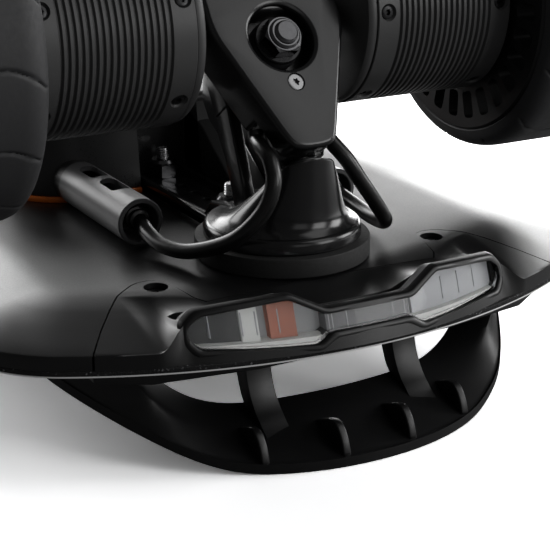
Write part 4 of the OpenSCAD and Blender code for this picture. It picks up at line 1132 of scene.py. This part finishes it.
# Axles: plain ground rods with lock nuts outside the wheels.
axle_half_l = 168.0
axle_nut_in = 159.2
for end in ("tail", "nose"):
    rod = lathe("axle", [(0, -axle_half_l), (4.2, -axle_half_l), (5, -axle_half_l + 0.8),
                         (5, axle_half_l - 0.8), (4.2, axle_half_l), (0, axle_half_l)], 48)
    side_pose = Matrix.Translation(axle_spot) @ Matrix.Rotation(math.pi / 2, 4, "Y")
    dress(smooth(at_end(rod, end, side_pose)), steel_finish, end + "_hanger", "bright_steel", end + "_axle")
    ends = []
    for s in (-1, 1):
        nut = hex_nut("axle_nut", 14.6, axle_nut_in, axle_nut_in + 6.6, 1.4)
        nut.data.transform(Matrix.Translation(axle_spot) @ Matrix.Rotation(s * math.pi / 2, 4, "Y"))
        ends.append(nut)
    dress(smooth(at_end(merge("axle_nuts", ends), end), 25), steel_finish, end + "_hanger", "bright_steel",
          end + "_axle_nuts")

# Motors: ribbed casings with plain end rings, a seam and an end cap on the inside, held by two rings of
# small countersunk screws.
casing_in = 38.5
casing_out = 101.0
casing_r = 38.6
casing_bore = 35.2
ring_w = 9.0
rib_count = 17
groove_depth = 1.1
screw_rows = (43.0, 96.5)
screw_turns = {-1: math.radians(53), 1: math.radians(25)}


def make_copies_tree():
    """Copies a piece to every point, turned by the points' turn attribute."""
    tree = bpy.data.node_groups.new("copies_at_points", "GeometryNodeTree")
    tree.interface.new_socket("Points", in_out="INPUT", socket_type="NodeSocketGeometry")
    tree.interface.new_socket("Piece", in_out="INPUT", socket_type="NodeSocketObject")
    tree.interface.new_socket("Finish", in_out="INPUT", socket_type="NodeSocketMaterial")
    tree.interface.new_socket("Copies", in_out="OUTPUT", socket_type="NodeSocketGeometry")
    nodes, links = tree.nodes, tree.links
    given = nodes.new("NodeGroupInput")
    made = nodes.new("NodeGroupOutput")
    info = nodes.new("GeometryNodeObjectInfo")
    turn = nodes.new("GeometryNodeInputNamedAttribute")
    turn.data_type = "FLOAT_VECTOR"
    turn.inputs["Name"].default_value = "turn"
    spin = nodes.new("FunctionNodeEulerToRotation")
    place = nodes.new("GeometryNodeInstanceOnPoints")
    real = nodes.new("GeometryNodeRealizeInstances")
    paint = nodes.new("GeometryNodeSetMaterial")
    links.new(given.outputs["Piece"], info.inputs["Object"])
    links.new(given.outputs["Points"], place.inputs["Points"])
    links.new(info.outputs["Geometry"], place.inputs["Instance"])
    links.new(turn.outputs["Attribute"], spin.inputs[0])
    links.new(spin.outputs[0], place.inputs["Rotation"])
    links.new(place.outputs["Instances"], real.inputs["Geometry"])
    links.new(real.outputs["Geometry"], paint.inputs["Geometry"])
    links.new(given.outputs["Finish"], paint.inputs["Material"])
    links.new(paint.outputs["Geometry"], made.inputs["Copies"])
    return tree


copies_tree = make_copies_tree()


def copies(piece, places, turns, finish=None):
    """One mesh of a piece copied to places with turns about X, Y and Z."""
    points = mesh_piece(piece.name, places, [])
    aim = points.data.attributes.new("turn", "FLOAT_VECTOR", "POINT")
    aim.data.foreach_set("vector", [v for turn in turns for v in turn])
    step = points.modifiers.new("copies", "NODES")
    step.node_group = copies_tree
    for socket in copies_tree.interface.items_tree:
        if socket.name == "Piece" and socket.in_out == "INPUT":
            step[socket.identifier] = piece
        if socket.name == "Finish" and socket.in_out == "INPUT":
            step[socket.identifier] = finish
    apply_modifiers(points)
    bpy.data.objects.remove(piece)
    return points


def casing_screw_places(side):
    """Places and turns of the casing's screws round the motor's axis."""
    places = []
    turns = []
    for row in screw_rows:
        for k in range(6):
            a = screw_turns[side] + k * math.pi / 3
            places.append((casing_r * math.cos(a), casing_r * math.sin(a), row))
            turns.append((0, math.pi / 2, a))
    return places, turns


def make_casing(side):
    """The casing turned in one piece, with dished screw holes."""
    profile = [(casing_bore, casing_in), (casing_r - 0.3, casing_in), (casing_r, casing_in + 0.3)]
    pitch = (casing_out - casing_in - 2 * ring_w) / rib_count
    for k in range(rib_count):
        z = casing_in + ring_w + (k + 0.25) * pitch
        profile += [(casing_r - 0.05, z - 0.12), (casing_r - 0.5, z + 0.12),
                    (casing_r - groove_depth, z + 0.45), (casing_r - groove_depth, z + 0.85),
                    (casing_r - 0.5, z + 1.2), (casing_r - 0.05, z + 1.44)]
    profile += [(casing_r, casing_out - 0.3), (casing_r - 0.3, casing_out), (casing_bore, casing_out)]
    casing = lathe("casing", profile, 160)
    dish = lathe("dish", [(0, -2.4), (1.9, -2.4), (3.3, -0.6), (3.6, 0.6), (0, 0.6)], 32)
    return smooth(carve(casing, [copies(dish, *casing_screw_places(side))]), 28)


motor_finish = grained("motor_coat", (0.058, 0.058, 0.0585), (0.072, 0.072, 0.0725), (0.38, 0.52), 1500, 30,
                       0.3, 0.05)
side_names = {-1: "left", 1: "right"}
motor_caps = []
motor_screws = []
for s in (-1, 1):
    side_pose = Matrix.Translation(axle_spot) @ Matrix.Rotation(s * math.pi / 2, 4, "Y")
    dress(at_end(make_casing(s), "tail", side_pose), motor_finish, "tail_hanger", "motor_coat",
          side_names[s] + "_motor_casing")
    cap = lathe("motor_cap", [(10.2, 34.4), (35.6, 34.4), (37.2, 34.8), (37.9, 35.8), (38.1, 37.2),
                              (37.9, 38.1), (37.2, 38.3), (10.2, 38.3)], 160)
    motor_caps.append(at_end(cap, "tail", side_pose))
    screw = socket_screw("casing_screw", 2.7, 1.5, 2.2, 1.2, 0.6)
    screw.data.transform(Matrix.Translation((0, 0, -2.2)))
    motor_screws.append(at_end(copies(screw, *casing_screw_places(s), black_steel), "tail", side_pose))
dress(smooth(merge("motor_caps", motor_caps), 30), motor_finish, "tail_hanger", "motor_coat", "motor_caps")
dress(smooth(merge("motor_screws", motor_screws), 30), black_steel, "tail_hanger", "dark_screw",
      "motor_screws")

# Cable sleeves: open plastic tubes on the deck, in front of the enclosure. Each has two oblong
# windows on top and takes one motor cable.
sleeve_x = 45.0
sleeve_r = 9.7
sleeve_wall = 2.0
sleeve_start = 34.0
sleeve_length = 63.5
sleeve_axis_z = under_face + sleeve_r - 0.8
window_w = 8.0
window_l = 17.0
sleeve_finish = grained("sleeve_satin", (0.085, 0.085, 0.088), (0.105, 0.105, 0.108), (0.30, 0.42), 1500,
                        30, 0.2, 0.04)
for s in (-1, 1):
    inner = sleeve_r - sleeve_wall
    tube = lathe("sleeve", [(inner, 0.4), (inner + 0.4, 0), (sleeve_r - 0.5, 0), (sleeve_r, 0.5),
                            (sleeve_r, sleeve_length - 0.3), (sleeve_r - 0.3, sleeve_length),
                            (inner, sleeve_length)], 96)
    tube.data.transform(Matrix.Rotation(-math.pi / 2, 4, "X"))
    tools = [box("flat", (-20, -5, -20), (20, 80, 0.8 - sleeve_r), 0)]
    for middle in (0.40 * sleeve_length, 0.74 * sleeve_length):
        w, l = window_w / 2, window_l / 2
        outline = [(-w, middle - l), (w, middle - l), (w, middle + l), (-w, middle + l)]
        tools.append(prism("window", soft_corners(outline, 3.4, 6), 2, 20))
    carve(tube, tools)
    tube.data.transform(Matrix.Translation((s * sleeve_x, sleeve_start, sleeve_axis_z)))
    plug = lathe("plug", [(0, 0), (inner - 0.1, 0), (inner - 0.1, 3.5), (0, 3.5)], 64)
    plug.data.transform(laid_along((s * sleeve_x, 50.5, sleeve_axis_z)))
    dress(smooth(at_end(merge("cable_sleeve", [tube, plug]), "tail"), 30), sleeve_finish, "board",
          "sleeve_plastic", side_names[s] + "_cable_sleeve")

# Motor cables: round jackets that come out of the hanger's flanks, hang in a loop and go into the sleeves.
cable_r = 3.1
cable_routes = {
    -1: [(-13.7, -3.8, -34.3), (-14.4, -6, -37.2), (-16.4, -14, -38.4), (-17.4, -22, -41), (-19, -27, -49),
         (-23, -25, -60), (-31, -17, -71), (-40, -1, -78.2), (-45, 13, -79.4), (-46, 25, -77.5),
         (-45, 36, -75), (-45, 44, -75), (-45, 50, -75)],
    1: [(13.7, -3.1, -34), (14.4, -5.4, -37), (16.4, -10, -41), (20.5, -14, -47), (25.5, -15.5, -55),
        (31.5, -16, -63.6),
        (37.5, -15, -72), (42, -8, -77), (45, 6, -79), (46, 20, -78), (45, 36, -75), (45, 44, -75),
        (45, 50, -75)],
}
cable_finish = grained("cable_jacket", (0.004, 0.004, 0.004), (0.007, 0.007, 0.007), (0.26, 0.36), 900, 60,
                       0.2, 0.04)


def smooth_route(points, steps):
    """A smooth curve through points."""
    spots = [Vector(p) for p in points]
    spots = [2 * spots[0] - spots[1]] + spots + [2 * spots[-1] - spots[-2]]
    curve = []
    for i in range(1, len(spots) - 2):
        a, b, c, d = spots[i - 1:i + 3]
        for k in range(steps):
            t = k / steps
            curve.append(0.5 * (2 * b + (c - a) * t
                                + (2 * a - 5 * b + 4 * c - d) * t**2
                                + (3 * b - a - 3 * c + d) * t**3))
    return curve + [spots[-2]]


def swept_tube(name, curve, radius, sides=24):
    """A tube along a curve, whose sections keep from twisting."""
    rings = []
    up = Vector((1, 0, 0))
    for i, spot in enumerate(curve):
        along = (curve[min(i + 1, len(curve) - 1)] - curve[max(i - 1, 0)]).normalized()
        across = along.cross(up).normalized()
        up = across.cross(along).normalized()
        wide = radius(i) if callable(radius) else radius
        rings.append([spot + wide * math.cos(2 * math.pi * k / sides) * across
                      + wide * math.sin(2 * math.pi * k / sides) * up for k in range(sides)])
    return ring_piece(name, rings)


for s in (-1, 1):
    curve = smooth_route(cable_routes[s], 9)
    cable = swept_tube("motor_cable", curve, cable_r)
    relief = lathe("relief", [(0, 0), (3.2, 0), (4.2, 0.6), (4.2, 2.2), (3.6, 2.6), (3.6, 3.4), (4.6, 3.8),
                              (4.6, 5.4), (4.0, 5.8), (4.0, 6.6), (5.0, 7.0), (5.0, 8.6), (4.4, 9.0),
                              (6.4, 9.4), (6.4, 16), (0, 16)], 40)
    relief.data.transform(laid_along((s * sleeve_x, 34.5, -75)))
    whole = smooth(at_end(merge(side_names[s] + "_cable", [cable, relief]), "tail"), 50)
    whole.data.transform(Matrix.Scale(mm, 4))
    whole.data.materials.append(cable_finish)
    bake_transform(whole)
    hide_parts(side_names[s] + "_motor_cable")

# Enclosure: a drafted box with rounded corners and lid under the deck. A cheek runs beside each truck's
# channel, and two round stubs end the cable sleeves.
case_length = 604.0
case_width = 138.0
case_corner = 30.0
case_base = 60.3
case_top = 98.3
case_draft = 4.0
lid_round = 5.0
trough_half_w = 15.0
trough_back = 118.0
trough_top = -40
cheek_half_w = 31.0
lid_screws = [(x, y, case_top - 2.4) for x in (-56, 56) for y in (-257, -85.67, 85.67, 257)]
button_spot = (0, 60, 76.3)
port_spot = (0, -60, 76.3)


def case_outline(inset):
    """Plan of the enclosure, drawn in by an inset."""
    r = case_corner - inset
    x, y = case_width / 2 - case_corner, case_length / 2 - case_corner
    quarter = math.pi / 2
    corners = [((-x, -y), 2), ((x, -y), 3), ((x, y), 0), ((-x, y), 1)]
    return [point for centre, k in corners for point in arc(centre, r, k * quarter, (k + 1) * quarter, 16)]


def trough_cuts():
    """Cuts through the enclosure's ends that make room for the channels of the trucks."""
    low = (-trough_half_w, 0, under_face - 1)
    high = (trough_half_w, trough_back, trough_top)
    return [at_end(box("trough", low, high, 0), end) for end in ("tail", "nose")]


def make_case():
    """The drafted box with its troughs, cheeks, sleeve stubs and bores."""
    section = [(0.4, case_base), (0.0, case_base + 0.5), (0.0, case_base + 3),
               (case_draft, case_top - lid_round)]
    for k in range(1, 9):
        a = k * math.pi / 16
        section.append((case_draft + lid_round * (1 - math.cos(a)),
                        case_top - lid_round + lid_round * math.sin(a)))
    case = ring_piece("case", [[(x, y, z) for x, y in case_outline(inset)] for inset, z in section])
    tools = trough_cuts()
    tools.append(copies(cylinder("screw_bore", 3.7, 0, 5, (0, 0), 32), lid_screws, [(0, 0, 0)] * 8))
    for spot, radius, turn in ((button_spot, 6.1, 1), (port_spot, 7.0, -1)):
        bore = cylinder("side_bore", radius, 54.5, 80)
        bore.data.transform(Matrix.Translation(spot) @ Matrix.Rotation(turn * math.pi / 2, 4, "Y"))
        tools.append(bore)
    pieces = [smooth(carve(case, tools), 28)]
    foot, top = under_face + 2.4, case_top - hole.z
    cheek = [(66, foot), (66, foot + 2), (98.5, top - 14), (trough_back, top - 6), (trough_back, foot)]
    for end in ("tail", "nose"):
        plate = side_plate("cheek", cheek, cheek_half_w - trough_half_w, 1.4)
        plate.data.transform(Matrix.Translation(((cheek_half_w + trough_half_w) / 2, 0, 0)))
        pieces.append(at_end(plate, end))
    for s in (-1, 1):
        stub = lathe("sleeve_stub", [(0, 97.6), (sleeve_r - 0.3, 97.6), (sleeve_r - 0.3, 110), (0, 110)], 64)
        stub.data.transform(laid_along((s * sleeve_x, 0, sleeve_axis_z)))
        pieces.append(at_end(smooth(stub), "tail"))
    return merge("enclosure_case", pieces)


case_finish = grained("case_satin", (0.020, 0.020, 0.0205), (0.028, 0.028, 0.0285), (0.26, 0.36), 1500, 20,
                      0.25)
dress(make_case(), case_finish, "board", "enclosure_shell", "enclosure")
lid_screw = copies(socket_screw("lid_screw", 3.4, 2.2, 2.6), lid_screws, [(0, 0, 0)] * 8, black_steel)
dress(smooth(lid_screw, 30), black_steel, "board", "dark_screw", "enclosure_screws")

# Gasket: an orange rubber band that shows all round the enclosure's foot.
gasket_section = [(-0.9, 57.9), (-1.2, 58.3), (-1.25, 59.2), (-1.1, 60.0), (-0.8, 60.3), (9, 60.3), (9, 57.9)]
gasket_outlines = [case_outline(inset) for inset, z in gasket_section]
gasket_rings = []
for i in list(range(len(gasket_outlines[0]))) + [0]:
    gasket_rings.append([(*outline[i], z) for outline, (inset, z) in zip(gasket_outlines, gasket_section)])
gasket = ring_piece("gasket", gasket_rings, capped=False)
carve(gasket, trough_cuts())
gasket_finish = grained("orange_rubber", (0.78, 0.16, 0.012), (0.86, 0.20, 0.02), (0.36, 0.48), 900, 60, 0.2)
dress(smooth(gasket), gasket_finish, "board", "gasket", "enclosure_gasket")

# Power button and charge port: a domed metal push button on one flank, a flanged socket on the other.
button = lathe("button", [(0, 0), (6, 0), (6, 11.2), (5.6, 11.8), (4.8, 12), (4.4, 11.7), (0, 11.5)], 64)
button.data.transform(Matrix.Translation((58.06, 60, 76.3)) @ Matrix.Rotation(math.pi / 2, 4, "Y"))
button_finish = grained("button_metal", (0.50, 0.50, 0.51), (0.62, 0.62, 0.63), (0.24, 0.36), 1200, 200,
                        0.15, 0.02, 1.0)
dress(smooth(button), button_finish, "power_button", "button_metal", "power_button")
port = lathe("port", [(5.0, 2), (5.0, 11.9), (5.5, 12.4), (8.8, 12.4), (9.5, 11.8), (9.5, 10.5), (7, 10.4),
                      (7, 0), (0, 0), (0, 2)], 64)
port.data.transform(Matrix.Translation((-58.06, -60, 76.3)) @ Matrix.Rotation(-math.pi / 2, 4, "Y"))
port_finish = plain("port_plastic", (0.02, 0.02, 0.021), 0.4)
dress(smooth(port), port_finish, "board", "dark_screw", "charge_port")

# Tyres: thick rubber treads with rounded shoulders and thin curved grooves.
wheel_in = 103.0
wheel_w = 55.0
wheel_r = 65.0
tread_repeat = 14
tread_groove = 0.9
tyre_finish = grained("tyre_rubber", (0.032, 0.032, 0.034), (0.042, 0.042, 0.044), (0.55, 0.70), 600, 40,
                      0.45, 0.1)
wheel_sides = [(end, s) for end in ("tail", "nose") for s in (-1, 1)]


def make_tyre():
    """A tyre on the upright axis, its tread pressed in along curved lines."""
    across = np.r_[np.linspace(-1, -0.8, 9), np.linspace(-0.8, 0.8, 31)[1:-1], np.linspace(0.8, 1, 9)]
    shoulder = np.clip((np.abs(across) - 0.62) / 0.38, 0, 1)
    radius = wheel_r - 7.4 * (1 - np.sqrt(np.clip(1 - shoulder**2.4, 0, 1)))
    height = wheel_in + wheel_w / 2 + across * (wheel_w / 2 - 0.6)
    sides = 630
    angle = np.linspace(0, 2 * math.pi, sides, endpoint=False)[:, None]
    sweep_line = 0.34 * across**2 + 0.22 * across
    phase = ((angle + sweep_line) * tread_repeat / (2 * math.pi)) % 1.0
    away = np.abs(phase - 0.5) * 2 * math.pi * wheel_r / tread_repeat
    press = tread_groove * np.clip(1 - (away / 0.75) ** 2, 0, 1) * (np.abs(across) < 0.94)
    r = radius - press
    grid = np.stack([r * np.cos(angle), r * np.sin(angle), np.broadcast_to(height, r.shape)], axis=-1)
    rings = []
    for row in grid:
        a = math.atan2(row[0][1], row[0][0])
        c, d = math.cos(a), math.sin(a)
        low, high = height[0], height[-1]
        foot = [(57.1 * c, 57.1 * d, low + 0.4), (57.1 * c, 57.1 * d, high - 0.4)]
        rings.append([tuple(p) for p in row] + [foot[1], foot[0]])
    rings.append(rings[0])
    return smooth(ring_piece("tyre", rings, capped=False), 45)


for end, s in wheel_sides:
    side_pose = Matrix.Translation(axle_spot) @ Matrix.Rotation(s * math.pi / 2, 4, "Y")
    side = side_names[s] if end == "tail" else side_names[-s]
    dress(at_end(make_tyre(), end, side_pose), tyre_finish, end + "_" + side + "_wheel", "tyre_rubber",
          end + "_" + side + "_tyre")

# Wheel cores: black spools with a ring of radial slots in both flanges and a hub for the bearings.
slot_count = 28
slot_w = 6.4
slot_in = 40.5
slot_out = 52.0
rim_r = 57.0
flange_w = 8.0
core_finish = grained("wheel_core", (0.005, 0.005, 0.0055), (0.008, 0.008, 0.0085), (0.36, 0.48), 1300, 40,
                      0.25)


def make_core():
    """Two slotted flanges on a barrel."""
    pieces = []
    for low in (wheel_in, wheel_in + wheel_w - flange_w):
        high = low + flange_w
        flange = lathe("core_flange", [(11.1, low), (rim_r - 1, low), (rim_r, low + 1), (rim_r, high - 0.3),
                                       (rim_r - 0.3, high), (11.1, high)], 140)
        w = slot_w / 2
        outline = [(slot_in, -w), (slot_out, -w), (slot_out, w), (slot_in, w)]
        slot = prism("slot", soft_corners(outline, 2.2, 4), low - 1, high + 1)
        ring = copies(slot, [(0, 0, 0)] * slot_count,
                      [(0, 0, 2 * math.pi * k / slot_count) for k in range(slot_count)])
        pieces.append(smooth(carve(flange, [ring]), 30))
    barrel = lathe("barrel", [(11.1, wheel_in + 7), (40, wheel_in + 7), (40, wheel_in + wheel_w - 7),
                              (11.1, wheel_in + wheel_w - 7)], 96)
    pieces.append(smooth(barrel))
    return merge("wheel_core", pieces)


for end, s in wheel_sides:
    side_pose = Matrix.Translation(axle_spot) @ Matrix.Rotation(s * math.pi / 2, 4, "Y")
    side = side_names[s] if end == "tail" else side_names[-s]
    dress(at_end(make_core(), end, side_pose), core_finish, end + "_" + side + "_wheel", "wheel_core",
          end + "_" + side + "_core")

# Inner pieces: battery, speed controller, stators, rotors and bearings keep their own forms.
inner_finishes = {
    "battery_pack": grained("battery_wrap", (0.02, 0.09, 0.22), (0.03, 0.12, 0.28), (0.25, 0.4)),
    "speed_controller": grained("heat_sink", (0.25, 0.25, 0.26), (0.33, 0.33, 0.34), (0.3, 0.45), metal=1.0),
    "motor_stators": grained("copper_winding", (0.50, 0.22, 0.08), (0.62, 0.30, 0.12), (0.25, 0.4),
                             metal=1.0),
}
bearing_finish = grained("bearing_steel", (0.50, 0.50, 0.51), (0.62, 0.62, 0.63), (0.16, 0.28), metal=1.0)
rotor_finish = grained("rotor_steel", (0.22, 0.22, 0.23), (0.30, 0.30, 0.31), (0.3, 0.42), metal=1.0)
for name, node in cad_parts.items():
    finish = inner_finishes.get(name)
    if name.endswith("_bearings"):
        finish = bearing_finish
    if name.endswith("_rotor"):
        finish = rotor_finish
    if finish:
        node.data.materials.clear()
        node.data.materials.append(finish)
